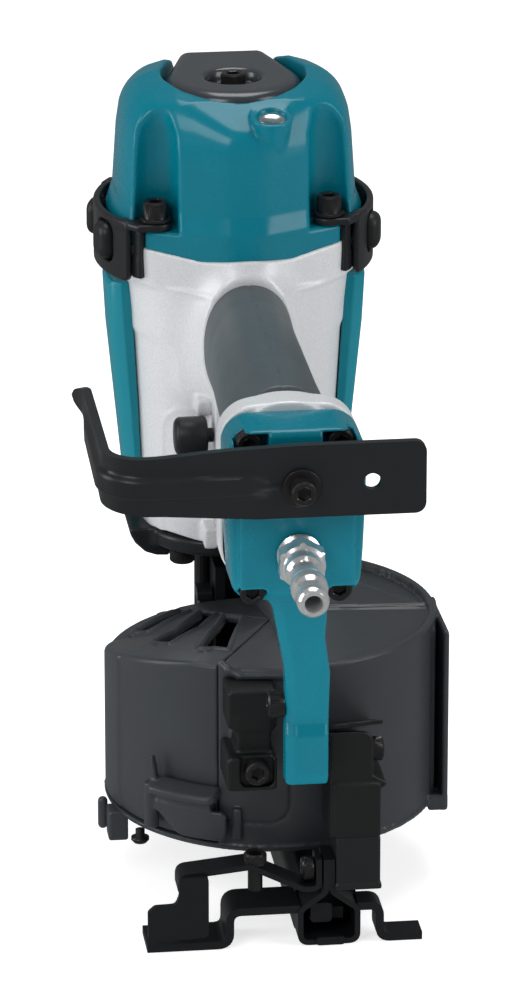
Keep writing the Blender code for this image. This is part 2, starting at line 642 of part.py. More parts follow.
def make_nose(mats):
    outline = oval((0, 0), 32.4, 32.0, 2.3, 28)
    plate = prism("plate", outline, PLATE_Z[0], PLATE_Z[1])
    skid = prism("skid", [(-38.6, 102.2), (-38.6, 100.5), (-35.5, 96.0), (-31.0, 92.2), (-25.0, 91.6),
                          (-25.0, 96.8), (-20.0, 97.5), (-20.0, 102.2)], -14.0, 12.0, "XZ")
    join(plate, skid)
    slot = box("slot", (-4.3, -2.3, 90.0), (4.3, 2.3, 104.0))
    finish(cut(plate, slot), "nose_base_plate", mats["black"])

    guide = box("guide", (-4.2, -8.0, 31.0), (9.0, 8.0, 96.2))
    flange = box("flange", (-10.0, -11.0, 91.2), (14.0, 8.1, 96.2))
    lug_outline = [(-13.0, 2.0), (-2.0, 2.0), (-2.0, 8.2), (-5.6, 8.2), (-6.4, 9.4), (-13.0, 9.4)]
    lugs = [prism("lug", lug_outline, z0, z1) for z0, z1 in ((28.7, 32.6), (86.4, 91.5))]
    tip = turned("tip", [(NOSE_TIP_Z, 6.2), (10.0, 7.0), (32.0, 7.0)], count=20)
    join(guide, flange, *lugs, tip)
    blade_slot = box("blade_slot", (-5.0, -1.9, 30.0), (3.9, 1.9, 91.2))
    top_slot = box("top_slot", (-3.9, -1.9, 91.1), (3.9, 1.9, 97.0))
    tip_bore = turned("tip_bore", [(7.0, 4.4), (30.4, 4.4)], count=16)
    nail_slot = box("nail_slot", (-5.0, -9.0, 36.0), (2.0, 0.0, 84.0))
    pin_hole = turned("pin_hole", [(28.0, 1.7), (92.0, 1.7)], (*DOOR_PIVOT, 0), count=12)
    finish(cut(guide, blade_slot, top_slot, tip_bore, nail_slot, pin_hole), "driver_guide", mats["black"])

    x, y = DOOR_PIVOT
    door = box("door", (-8.2, -13.0, DOOR_Z[0]), (-4.6, y, DOOR_Z[1]))
    knuckle = turned("knuckle", [(DOOR_Z[0], 3.0), (DOOR_Z[1], 3.0)], (x, y, 0), count=14)
    join(door, knuckle)
    hole = turned("hole", [(32.0, 1.7), (87.0, 1.7)], (x, y, 0), count=12)
    latch_hole = turned("latch_hole", [(-9.0, 1.5), (-4.0, 1.5)], (0, -6.0, 66.0), (1, 0, 0), 10)
    finish(cut(door, hole, latch_hole), "nose_door", mats["black"], (x, y, DOOR_Z[0]))
    finish(turned("pin", [(28.9, 1.4), (91.0, 1.4)], (x, y, 0), count=12), "door_pin", mats["steel"])
    latch = prism("latch", [(-10.0, 60.0), (-2.0, 60.0), (-2.0, 74.0), (-3.5, 76.0), (-8.5, 76.0), (-10.0, 74.0)],
                  -12.6, -8.5, "YZ")
    stub = turned("stub", [(-9.0, 1.2), (-5.0, 1.2)], (0, -6.0, 66.0), (1, 0, 0), 10)
    finish(join(latch, stub), "door_latch", mats["black"], (-8.5, -6.0, 66.0))


def make_contact(mats):
    arm = box("arm", (-6.0, 10.0, 60.0), (6.0, 13.4, 76.0))
    head = box("head", (-6.0, 9.0, 52.8), (6.0, 19.5, 60.4))
    join(arm, head)
    cut(arm, turned("hole", [(52.0, 1.9), (58.0, 1.9)], (0, DIAL_Y, 0), count=12))
    finish(arm, "contact_arm", mats["black"])
    dial = turned("dial", [(33.0, 1.6), (46.3, 1.6), (46.3, 6.2), (47.0, 6.8), (51.6, 6.8), (52.4, 6.2),
                           (52.4, 1.6), (57.4, 1.6)], (0, DIAL_Y, 0), count=20)
    finish(dial, "depth_dial", mats["steel"], (0, DIAL_Y, 46.3))
    ring = tube("ring", [(0.0, 7.6), (16.0, 7.6), (16.0, 10.5), (1.5, 10.5), (0.0, 9.4)], count=24)
    stem = box("stem", (-5.0, 9.0, 6.0), (5.0, 12.4, 42.0))
    nut = box("nut", (-5.0, 10.6, 30.0), (5.0, 19.5, 42.0))
    join(ring, stem, nut)
    cut(ring, turned("hole", [(29.0, 1.9), (43.0, 1.9)], (0, DIAL_Y, 0), count=12))
    finish(ring, "contact_foot", mats["black"])
    coil_spring("contact_spring", (0, 11.7), 2.6, 0.6, 76.3, 96.2, 5, mats["steel"])


def make_feeder(mats):
    x, z = FEED_AXIS
    shell = tube("shell", [(-9.0, 2.9), (-6.0, 2.9), (-6.0, 6.3), (16.0, 6.3), (16.0, 8.0), (-9.0, 8.0)],
                 (x, 0, z), (0, 1, 0), 20)
    finish(shell, "feed_cylinder", mats["cast"])
    rod = turned("rod", [(-12.0, 2.5), (3.0, 2.5), (3.0, 6.0), (8.0, 6.0)], (x, 0, z), (0, 1, 0), 16)
    finger = prism("finger", rounded_rect(2.6, x + 3.0, z - 6.0, z + 6.0, 2.0, 2), -13.4, -9.8, "XZ")
    finish(join(rod, finger), "feed_pawl", mats["steel"], (x, -9.8, z))


# ---------------------------------------------------------------- magazine

def rim_height(angle):
    """Height of the cover's upper edge, which climbs towards the handle end."""
    y = DRUM[1] + DRUM_R * math.sin(math.radians(angle))
    return min(max(76.0 + 0.26 * (-55.0 - y), 75.0), 92.4)


def drum_point(radius, angle, z):
    a = math.radians(angle)
    return (DRUM[0] + radius * math.cos(a), DRUM[1] + radius * math.sin(a), z)


def roof_height(radius, angle):
    """The cover's roof rises in a straight line from its edge to the middle of the drum."""
    edge = rim_height(angle)
    return edge + (88.6 - edge) * (1.0 - radius / DRUM_R)


def make_cover(mats):
    inner = DRUM_R - DRUM_WALL
    rings = []
    steps = 14
    for k in range(steps + 1):
        angle = COVER_ANGLES[0] + (COVER_ANGLES[1] - COVER_ANGLES[0]) * k / steps
        edge = rim_height(angle)
        outline = [(DRUM_R, 28.5), (DRUM_R, edge - 2.2), (55.0, roof_height(55.0, angle)),
                   (30.0, roof_height(30.0, angle)), (9.0, roof_height(9.0, angle)),
                   (9.0, roof_height(9.0, angle) - 2.5), (30.0, roof_height(30.0, angle) - 2.5),
                   (inner, roof_height(inner, angle) - 2.5), (inner, 28.5)]
        rings.append([drum_point(r, angle, z) for r, z in outline])
    body = loft("cover", rings)
    hx, hy, _ = drum_point(COVER_HINGE_R, COVER_HINGE_ANGLE, 0)
    knuckle = turned("knuckle", [(33.4, 4.2), (62.6, 4.2)], (hx, hy, 0), count=14)
    web = prism("web", [drum_point(r, a, 0)[:2] for r, a in ((55.2, 121.0), (63.0, 120.6), (59.0, 125.0),
                                                            (55.2, 125.6))], 33.4, 62.6)
    join(body, web, knuckle)
    vents = [prism("vent", cut_corners(corners), 60.0, 100.0) for corners in VENTS]
    hole = turned("hole", [(32.0, 2.2), (64.0, 2.2)], (hx, hy, 0), count=12)
    cut(body, *vents, hole)
    finish(body, "magazine_cover", mats["plastic"], (hx, hy, 33.4))
    finish(turned("pin", [(26.0, 1.9), (70.0, 1.9)], (hx, hy, 0), count=12), "cover_pin", mats["steel"],
           (hx, hy, 26.0))


def cut_corners(corners):
    """A four-cornered opening with each corner cut by a small arc."""
    points = []
    count = len(corners)
    for i in range(count):
        here = Vector(corners[i])
        before = (Vector(corners[i - 1]) - here).normalized()
        after = (Vector(corners[(i + 1) % count]) - here).normalized()
        start = here + before * 1.4
        end = here + after * 1.4
        middle = here * 0.4 + (start + end) * 0.3
        points += [tuple(start), tuple(middle), tuple(end)]
    return points


def above_roof(drop, aside):
    """Everything over the cone of the roof on the cover's side, to keep the base's roof in line with it."""
    centre = (DRUM[0] + aside, DRUM[1])
    verts = [(*centre, 88.6 - drop), (*centre, 101.0)]
    faces = []
    count = 19
    for k in range(count):
        angle = 90.0 + 10.0 * k
        x, y, _ = drum_point(62.0, angle, 0)
        verts += [(x + aside, y, roof_height(62.0, angle) - drop), (x + aside, y, 101.0)]
    for k in range(count - 1):
        a = 2 + 2 * k
        faces += [(0, a, a + 2), (1, a + 3, a + 1), (a, a + 1, a + 3, a + 2)]
    faces += [(0, 1, 3, 2), (0, 2 * count, 2 * count + 1, 1)]
    return solid("above", verts, faces)


def make_magazine(mats):
    inner = DRUM_R - DRUM_WALL
    floor = turned("floor", [(FLOOR_Z[0], 54.5), (26.2, 57.0), (FLOOR_Z[1], 57.6)], (*DRUM, 0), count=40)
    outline = arc(DRUM, DRUM_R, BASE_ANGLES[0], BASE_ANGLES[1], 26) + [DRUM]
    shell = prism("shell", outline, 26.0, DRUM_TOP_Z)
    wide = arc(DRUM, inner, BASE_ANGLES[0], BASE_ANGLES[1], 26)
    mouth = [drum_point(inner, angle, 0)[:2] for angle in (150, 185, 220)]
    hollow = cut(prism("hollow", wide + mouth, FLOOR_Z[1], 90.4), above_roof(2.5, 2.5))
    throat = box("throat", (-9.0, -34.0, 33.0), (24.0, -8.0, 74.0))
    cut(shell, above_roof(0.0, 0.0), hollow, throat)
    hx, hy, _ = drum_point(COVER_HINGE_R, COVER_HINGE_ANGLE, 0)
    pieces = [shell]
    for z0, z1 in ((FLOOR_Z[0], 33.0), (63.0, 71.0)):
        pieces.append(turned("knuckle", [(z0, 4.2), (z1, 4.2)], (hx, hy, 0), count=14))
        pieces.append(prism("web", [drum_point(r, a, 0)[:2] for r, a in ((55.4, 113.0), (59.0, 113.0),
                                                                        (63.0, 117.5), (57.8, 118.0),
                                                                        (55.4, 116.0))], z0, z1))
    guard = prism("guard", [(59.0, -64.0), (60.6, -66.0), (61.8, -96.0), (63.0, -96.0), (63.0, -62.0),
                            (59.4, -60.0)], 24.0, 91.0)
    catch = sector("catch", DRUM, (56.0, 59.0), (250.5, 253.5), (31.0, 42.0), 2)
    post = turned("post", [(26.0, 5.0), (82.0, 5.0)], (*DRUM, 0), count=16)
    pieces += [guard, catch, post]
    stay = box("stay", (10.5, -60.0, 10.8), (18.7, -52.0, 27.0))
    stay_front = box("stay", (10.5, -32.0, 10.8), (18.7, -24.0, 27.0))
    join(floor, *pieces, stay, stay_front)
    hole = turned("hole", [(24.0, 2.2), (72.0, 2.2)], (hx, hy, 0), count=12)
    finish(cut(floor, hole), "magazine_base", mats["plastic"])


def make_magazine_parts(mats):
    deck = tube("deck", [(44.0, 5.4), (60.0, 5.4), (60.0, 9.0), (47.0, 9.0), (47.0, 50.0), (44.0, 50.0)],
                (*DRUM, 0), count=32)
    finish(deck, "nail_platform", mats["plastic"], (*DRUM, 44.0))

    start, end = LATCH_ANGLES
    px, py, _ = drum_point(60.3, start, 0)
    lever = sector("lever", DRUM, (59.3, 61.6), (start, end), (30.6, 41.0), 7)
    tongue = sector("tongue", DRUM, (57.6, 64.6), (start + 4, end - 4), (44.4, 46.8), 5)
    riser = sector("riser", DRUM, (59.3, 61.6), (start + 2, start + 7), (40.0, 46.8), 2)
    riser_end = sector("riser", DRUM, (59.3, 61.6), (end - 7, end - 3), (40.0, 46.8), 2)
    eye = turned("eye", [(30.6, 2.6), (46.8, 2.6)], (px, py, 0), count=12)
    join(lever, tongue, riser, riser_end, eye)
    finish(lever, "cover_latch", mats["plastic"], (px, py, 30.6))


def make_brackets(mats):
    block = box("block", (-16.0, -140.0, 68.0), (-4.4, -127.0, 91.0))
    foot = box("foot", (-15.2, -146.0, 55.0), (-2.6, -127.0, 70.0))
    join(block, foot)
    face = turned("face", [(24.0, DRUM_R + GAP), (100.0, DRUM_R + GAP)], (*DRUM, 0), count=60)
    finish(cut(block, face), "arm_bracket_left", mats["black"])

    upper = box("upper", (14.4, -149.0, 56.0), (32.6, -122.0, 73.6))
    lower = box("lower", (16.2, -150.4, 38.6), (33.6, -122.0, 58.0))
    pad = box("pad", (17.0, -150.0, 20.8), (32.7, -132.0, 39.6))
    join(upper, lower, pad)
    face = turned("face", [(20.0, DRUM_R + 0.9), (100.0, DRUM_R + 0.9)], (*DRUM, 0), count=60)
    finish(cut(upper, face), "arm_bracket_right", mats["black"])


# ---------------------------------------------------------------- sliding gauge

def make_gauge(mats):
    bar = box("bar", (GAUGE_X - 6.0, -141.0, 6.0), (GAUGE_X + 6.0, -20.0, 10.4))
    finish(bar, "guide_bar", mats["steel"])

    left = GAUGE_X - RAIL_HALF
    right = GAUGE_X + RAIL_HALF
    wall = RAIL_WALL
    lip = RAIL_LIP
    channel = [(left, 0.0), (right, 0.0), (right, 15.0), (GAUGE_X + lip, 17.4), (GAUGE_X + lip, 15.2),
               (right - wall, 13.2), (right - wall, wall), (left + wall, wall), (left + wall, 13.2),
               (GAUGE_X - lip, 15.2), (GAUGE_X - lip, 17.4), (left, 15.0)]
    rail = prism("rail", channel, -136.5, RAIL_Y[1], "XZ")
    house = [(left, 0.0), (right, 0.0), (right, 15.0), (GAUGE_X + 1.8, 19.6), (GAUGE_X + 1.8, 31.0),
             (GAUGE_X - 1.8, 31.0), (GAUGE_X - 1.8, 19.6), (left, 15.0)]
    hall = [(left + wall, wall), (right - wall, wall), (right - wall, 13.6), (GAUGE_X, 17.2),
            (left + wall, 13.6)]
    end = prism("end", house, RAIL_Y[0], -136.4, "XZ")
    cut(end, prism("hall", hall, -151.0, -135.0, "XZ"))
    join(rail, end)
    feet = [
        [(left + 0.8, 12.0), (-16.0, 12.0), (-19.0, 9.0), (-19.0, 3.0), (-22.0, 0.0), (-47.0, 0.0),
         (-47.0, 2.8), (-23.5, 2.8), (-22.0, 4.4), (-22.0, 10.4), (-17.6, 14.8), (left + 0.8, 14.8)],
        [(right - 0.8, 12.0), (29.0, 12.0), (30.4, 10.6), (30.4, 3.0), (33.4, 0.0), (46.4, 0.0),
         (46.4, 2.8), (34.9, 2.8), (33.4, 4.4), (33.4, 12.0), (30.4, 14.8), (right - 0.8, 14.8)]]
    for outline, front in zip(feet, FOOT_FRONT_Y):
        join(rail, prism("foot", outline, FOOT_REAR_Y, front, "XZ"))
    bolt_spot = (0, -142.8, 25.6)
    cut(rail, turned("hole", [(8.0, HOLE_R), (20.0, HOLE_R)], bolt_spot, (1, 0, 0), 10))
    finish(rail, "guide_rail", mats["black"], (GAUGE_X, RAIL_Y[0], 0))

    ear_x = GAUGE_X - 1.8 - GAP
    ear = box("ear", (ear_x - 2.0, -148.6, 20.4), (ear_x, -137.4, 31.0))
    strip = prism("strip", [(ear_x - 0.8, 21.0), (4.6, 21.0), (-9.0, 29.6), (-34.0, 27.9), (-37.0, 25.4),
                            (-37.0, 22.0), (-34.6, 22.0), (-34.0, 25.4), (-9.0, 27.0), (4.0, 18.4),
                            (ear_x - 0.8, 19.5)], -148.6, -139.0, "XZ")
    blade = prism("blade", [(-26.0, 27.9), (-36.9, 27.0), (-36.9, 14.0), (-41.0, 11.4), (-46.6, 10.6),
                            (-47.2, 3.6), (-26.0, 4.6)], -150.8, -148.4, "XZ")
    join(ear, strip, blade)
    cut(ear, turned("hole", [(8.0, HOLE_R), (14.0, HOLE_R)], bolt_spot, (1, 0, 0), 10))
    finish(ear, "gauge_arm", mats["black"])
    socket_screw("guide_clamp_bolt", (ear_x - 2.0 - GAP, -142.8, 25.6), (-1, 0, 0), mats["black"], 6.0, 4.8)


# ---------------------------------------------------------------- the part

def main():
    for obj in list(bpy.data.objects):
        bpy.data.objects.remove(obj)
    mats = make_materials()
    make_housing(mats)
    make_drive(mats)
    make_cap(mats)
    make_deflector(mats)
    for k, (x, y) in enumerate(CAP_BOLTS):
        socket_screw("cap_bolt_%d" % (k + 1), (x, y, TAB_Z[1] + GAP), (0, 0, 1), mats["black"], 19.2, 7.0, 5.4)
    make_bumpers(mats)
    make_side_panels(mats)
    make_handle(mats)
    make_end_cap(mats)
    make_plug(mats)
    make_hook(mats)
    make_trigger(mats)
    make_nose(mats)
    make_contact(mats)
    make_feeder(mats)
    make_magazine(mats)
    make_cover(mats)
    make_magazine_parts(mats)
    make_brackets(mats)
    make_gauge(mats)


main()
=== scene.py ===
"""Looks of the pneumatic coil nailer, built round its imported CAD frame.

Lengths are millimetres in the tool's own frame: the driver's axis is X = 0, Y = 0, the handle runs
towards -Y, and Z is up from the work surface.  place() turns them into the part's metres.

Castings and mouldings are skins of distance fields: field(x, y, z) is negative inside the piece, and
fillets come from meet and merge.  Sheet metal is bent from outlines, screws are turned.
"""
import math

import bpy
import bmesh
import numpy as np
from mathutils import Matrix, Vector

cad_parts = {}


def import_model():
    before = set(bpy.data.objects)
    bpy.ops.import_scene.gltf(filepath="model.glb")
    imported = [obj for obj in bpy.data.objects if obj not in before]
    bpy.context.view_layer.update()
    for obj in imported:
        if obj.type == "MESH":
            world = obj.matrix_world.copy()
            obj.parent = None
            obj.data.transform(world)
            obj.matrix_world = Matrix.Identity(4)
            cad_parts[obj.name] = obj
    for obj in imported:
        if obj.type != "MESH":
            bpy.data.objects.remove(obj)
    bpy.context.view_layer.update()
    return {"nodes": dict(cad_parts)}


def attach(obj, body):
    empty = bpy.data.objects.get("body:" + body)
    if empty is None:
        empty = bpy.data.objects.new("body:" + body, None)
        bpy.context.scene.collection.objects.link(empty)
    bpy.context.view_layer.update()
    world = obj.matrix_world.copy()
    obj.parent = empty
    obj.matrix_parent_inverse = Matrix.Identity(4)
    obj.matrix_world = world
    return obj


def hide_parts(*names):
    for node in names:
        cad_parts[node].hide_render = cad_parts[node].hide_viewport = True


MM = 0.001
SHIFT = (2, 86, 0)              # from the driver's axis to the part's origin

# Driving heights and places, the same as the frame's
CAP_BASE_Z = 207
SEAT_Z = 252
TAB_Z = (216.8, 219.3)
BARREL_Z = (102.5, 206.7)
CAP_BOLTS = [(-30, -26.5), (30, -26.5), (30, 27.5), (-30, 27.5)]
VENT = (9.3, -33.6)
END_BOLTS = [(-15, 187.2), (15, 187.2), (14.7, 136.2), (-13.9, 136.2)]
HANDLE_END_Y = -149.7
CAP_FRONT_Y = -151.3
FACE_Y = -172
SEAT_Y = -165
HOOK_Y = -182
HOOK_BOLT = (0.3, 177)
HOOK_HOLE = (23.4, 178)
HOLE_R = 2.8                    # clearance holes for M5 screws
DRUM = (4, -72)
DRUM_R = 57
DRUM_INNER_R = 54.3
PLUG = (0.8, -168, 151.2)
STRAP_MIDDLE = 17               # degrees from the side towards the front and the rear

GLOSS_SPREAD = 0.06             # how far roughness wanders either way
LOOKS = {}                      # materials by their short names, filled once the frame is loaded


# ---- distance fields

both = np.maximum       # inside both of two fields
either = np.minimum     # inside either of them


def merge(a, b, k):
    """Union of two fields with a fillet about k wide."""
    h = np.maximum(k - abs(a - b), 0) / k
    return np.minimum(a, b) - h * h * k / 4


def meet(a, b, k):
    """Intersection of two fields with a rounded edge about k wide."""
    return -merge(-a, -b, k)


def cut_out(body, hole, k):
    """Take hole away from body and round the edge."""
    return meet(body, -hole, k)


def drill(body, hole):
    """Take hole away from body and leave the edge sharp."""
    return both(body, -hole)


def disc(u, v, centre, radius):
    return np.hypot(u - centre[0], v - centre[1]) - radius


def slab(v, low, high):
    return both(low - v, v - high)


def corner(a, b, radius):
    """Round the corner where two sides meet."""
    return np.hypot(np.maximum(a, 0), np.maximum(b, 0)) + np.minimum(np.maximum(a, b), 0) - radius


def rect(u, v, low, high, radius):
    """A flat rectangle with round corners; low and high are (u, v) pairs."""
    a = abs(u - (low[0] + high[0]) / 2) - (high[0] - low[0]) / 2 + radius
    b = abs(v - (low[1] + high[1]) / 2) - (high[1] - low[1]) / 2 + radius
    return corner(a, b, radius)


def brick(x, y, z, low, high, radius):
    """A block with rounded edges."""
    flat = rect(x, y, low[:2], high[:2], radius)
    return corner(flat + radius, slab(z, low[2], high[2]) + radius, radius)


def ramp(v, stations, values):
    return np.interp(v, stations, values)


def bead(v, width):
    """A ridge of height 1 along v = 0."""
    return np.exp(-(v / width) ** 2)


def heading(u, v):
    """The angle of (u, v) in degrees."""
    return np.degrees(np.arctan2(v, u))


def settle(verts, field, step):
    """Slide points down the field's slope onto its zero surface."""
    reach = 0.1
    for _ in range(2):
        here = field(*verts.T)
        slope = np.empty_like(verts)
        for i, e in enumerate(np.eye(3) * reach):
            slope[:, i] = (field(*(verts + e).T) - field(*(verts - e).T)) / (2 * reach)
        steep = np.maximum((slope ** 2).sum(axis=1), 0.1)
        move = slope * (here / steep)[:, None]
        verts = verts - np.clip(move, -step / 2, step / 2)
    return verts


def carve(name, field, low, high, step):
    """Skin a field's zero surface: a point in each grid cell it crosses, a quad for each crossed edge."""
    axes = [np.arange(a - 1.5 * step, b + 2.5 * step, step) for a, b in zip(low, high)]
    shape = tuple(len(a) for a in axes)
    value = np.broadcast_to(field(*np.meshgrid(*axes, indexing="ij", sparse=True)), shape)
    cells = []
    points = []
    quads = []
    for a in range(3):
        b = (a + 1) % 3
        c = (a + 2) % 3
        v0 = value.take(range(shape[a] - 1), axis=a)
        v1 = value.take(range(1, shape[a]), axis=a)
        hit = np.argwhere((v0 < 0) != (v1 < 0))
        f0 = v0[tuple(hit.T)]
        f1 = v1[tuple(hit.T)]
        spot = hit.astype(float)
        spot[:, a] += f0 / (f0 - f1)
        corners = []
        for db, dc in ((-1, -1), (0, -1), (0, 0), (-1, 0)):
            cell = hit.copy()
            cell[:, b] += db
            cell[:, c] += dc
            index = np.ravel_multi_index(cell.T, shape)
            corners.append(index)
            cells.append(index)
            points.append(spot)
        quad = np.stack(corners, axis=1)
        quad[f0 >= 0] = quad[f0 >= 0][:, ::-1]
        quads.append(quad)
    used, back, counts = np.unique(np.concatenate(cells), return_inverse=True, return_counts=True)
    points = np.concatenate(points)
    verts = np.stack([np.bincount(back, points[:, i]) / counts for i in range(3)], axis=1)
    verts = settle(np.array([a[0] for a in axes]) + verts * step, field, step)
    faces = np.searchsorted(used, np.concatenate(quads))
    return piece(name, verts, faces.tolist())


# ---- meshes

def place(points):
    return (np.asarray(points, dtype=float) + SHIFT) * MM


def piece(name, verts, faces):
    """An object from millimetre points."""
    mesh = bpy.data.meshes.new(name)
    mesh.from_pydata(place(verts).tolist(), [], faces)
    mesh.shade_smooth()
    obj = bpy.data.objects.new(name, mesh)
    bpy.context.scene.collection.objects.link(obj)
    return obj


def face_out(obj):
    work = bmesh.new()
    work.from_mesh(obj.data)
    bmesh.ops.recalc_face_normals(work, faces=work.faces)
    work.to_mesh(obj.data)
    work.free()
    return obj


def loft(name, rings, closed=False):
    """Skin equal loops of points; the ends are capped unless the loops close on themselves."""
    count = len(rings[0])
    verts = [tuple(p) for ring in rings for p in ring]
    faces = []
    for i in range(len(rings) if closed else len(rings) - 1):
        a = i * count
        b = ((i + 1) % len(rings)) * count
        for k in range(count):
            n = (k + 1) % count
            faces.append((a + k, a + n, b + n, b + k))
    if not closed:
        faces.append(tuple(range(count)))
        faces.append(tuple(range((len(rings) - 1) * count, len(rings) * count)))
    return face_out(piece(name, verts, faces))


def circle(centre, axis, radius, count, sides=0):
    """A ring of points round an axis; with sides it is pulled onto a polygon's outline."""
    along = Vector(axis).normalized()
    helper = Vector((0, 0, 1)) if abs(along.z) < 0.9 else Vector((1, 0, 0))
    side = along.cross(helper).normalized()
    up = along.cross(side)
    middle = Vector(centre)
    points = []
    for k in range(count):
        a = 2 * math.pi * k / count
        reach = radius
        if sides:
            half = math.pi / sides
            turn = (a + half) % (2 * half) - half
            reach = radius * math.cos(half) / math.cos(turn)
        points.append(middle + side * (reach * math.cos(a)) + up * (reach * math.sin(a)))
    return points


def turned(name, profile, centre=(0, 0, 0), axis=(0, 0, 1), count=48, closed=False):
    """Turn (distance, radius) stations about an axis; a third item is a number of flat sides."""
    along = Vector(axis).normalized()
    rings = [circle(Vector(centre) + along * s, axis, r, count, *sides) for s, r, *sides in profile]
    return loft(name, rings, closed)


def prism(name, outline, low, high, plane="XY"):
    """Extrude a flat outline along the axis that its plane leaves out."""
    def point(u, v, w):
        return {"XY": (u, v, w), "XZ": (u, w, v), "YZ": (w, u, v)}[plane]
    return loft(name, [[point(u, v, low) for u, v in outline], [point(u, v, high) for u, v in outline]])


def box(name, low, high):
    outline = [(low[0], low[1]), (high[0], low[1]), (high[0], high[1]), (low[0], high[1])]
    return prism(name, outline, low[2], high[2])


def round_corner(before, here, after, radius, steps):
    """Points along a curve that rounds one corner of a path."""
    here = Vector(here)
    back = Vector(before) - here
    on = Vector(after) - here
    run = min(radius / math.tan(back.angle(on) / 2), back.length * 0.48, on.length * 0.48)
    start = here + back.normalized() * run
    end = here + on.normalized() * run
    return [tuple(start * (1 - t) ** 2 + here * (2 * t * (1 - t)) + end * t ** 2)
            for t in (k / steps for k in range(steps + 1))]


def rounded(corners, radius):
    """A polygon with each corner rounded; a corner may give its own radius as a third item."""
    points = []
    for before, here, after in zip(corners[-1:] + corners[:-1], corners, corners[1:] + corners[:1]):
        size = here[2] if len(here) > 2 else radius
        points += round_corner(before[:2], here[:2], after[:2], size, 5)
    return points


def combine(target, tools, operation):
    for tool in tools:
        change = target.modifiers.new("change", "BOOLEAN")
        change.operation = operation
        change.object = tool
        bpy.context.view_layer.update()
        graph = bpy.context.evaluated_depsgraph_get()
        mesh = bpy.data.meshes.new_from_object(target.evaluated_get(graph))
        target.modifiers.remove(change)
        target.data = mesh
        bpy.data.objects.remove(tool)
    return target


def join(target, *tools):
    return combine(target, tools, "UNION")


def cut(target, *tools):
    return combine(target, tools, "DIFFERENCE")


def soften(obj, width, segments=3, angle=32):
    """Round every edge sharper than the angle, and shade the flats flat."""
    bevel = obj.modifiers.new("edges", "BEVEL")
    bevel.width = width * MM
    bevel.segments = segments
    bevel.limit_method = "ANGLE"
    bevel.angle_limit = math.radians(angle)
    bevel.harden_normals = True
    obj.data.shade_smooth()
    return obj


def crease(obj, angle=35):
    """Keep the edges sharper than the angle sharp."""
    obj.data.set_sharp_from_angle(angle=math.radians(angle))
    return obj


def dress(obj, look, body="tool", extra=False):
    """Give a piece its look and body; unless it is extra, it stands for the CAD node of its name."""
    obj.data.materials.clear()
    obj.data.materials.append(LOOKS[look])
    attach(obj, body)
    if not extra:
        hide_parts(obj.name.partition(".")[0])


def mould(name, field, low, high, step, look, body="tool", extra=False):
    """Carve a field and dress its skin."""
    dress(carve(name, field, low, high, step), look, body, extra)


# ---- materials

def surface(name, rgb, roughness, grain=0.6, height=0.02, mottle=0.12, shine=0.5, metallic=0,
            coat=0, patch=18):
    """A finish with fine grain as bump, slow mottling of its colour and uneven gloss.

    grain and patch are sizes in millimetres, height is the grain's depth in millimetres.
    """
    made = bpy.data.materials.new(name)
    made.use_nodes = True
    nodes = made.node_tree.nodes
    link = made.node_tree.links.new
    shader = nodes["Principled BSDF"]
    for socket, value in (("Metallic", metallic), ("Specular IOR Level", shine),
                          ("Coat Weight", coat), ("Coat Roughness", 0.08)):
        shader.inputs[socket].default_value = value
    coords = nodes.new("ShaderNodeTexCoord")

    def noise(size, detail):
        made_noise = nodes.new("ShaderNodeTexNoise")
        made_noise.inputs["Scale"].default_value = 1 / (size * MM)
        made_noise.inputs["Detail"].default_value = detail
        link(coords.outputs["Object"], made_noise.inputs["Vector"])
        return made_noise.outputs["Fac"]

    slow = noise(patch, 3)
    tint = nodes.new("ShaderNodeMixRGB")
    tint.inputs["Color1"].default_value = (*[c * (1 - mottle) for c in rgb], 1)
    tint.inputs["Color2"].default_value = (*[min(c * (1 + mottle), 1) for c in rgb], 1)
    link(slow, tint.inputs["Fac"])
    link(tint.outputs["Color"], shader.inputs["Base Color"])

    gloss = nodes.new("ShaderNodeMapRange")
    gloss.inputs["To Min"].default_value = roughness - GLOSS_SPREAD
    gloss.inputs["To Max"].default_value = roughness + GLOSS_SPREAD
    link(noise(patch * 0.4, 4), gloss.inputs["Value"])
    link(gloss.outputs["Result"], shader.inputs["Roughness"])

    bump = nodes.new("ShaderNodeBump")
    bump.inputs["Strength"].default_value = 0.6
    bump.inputs["Distance"].default_value = height * MM
    link(noise(grain, 2), bump.inputs["Height"])
    link(bump.outputs["Normal"], shader.inputs["Normal"])
    return made


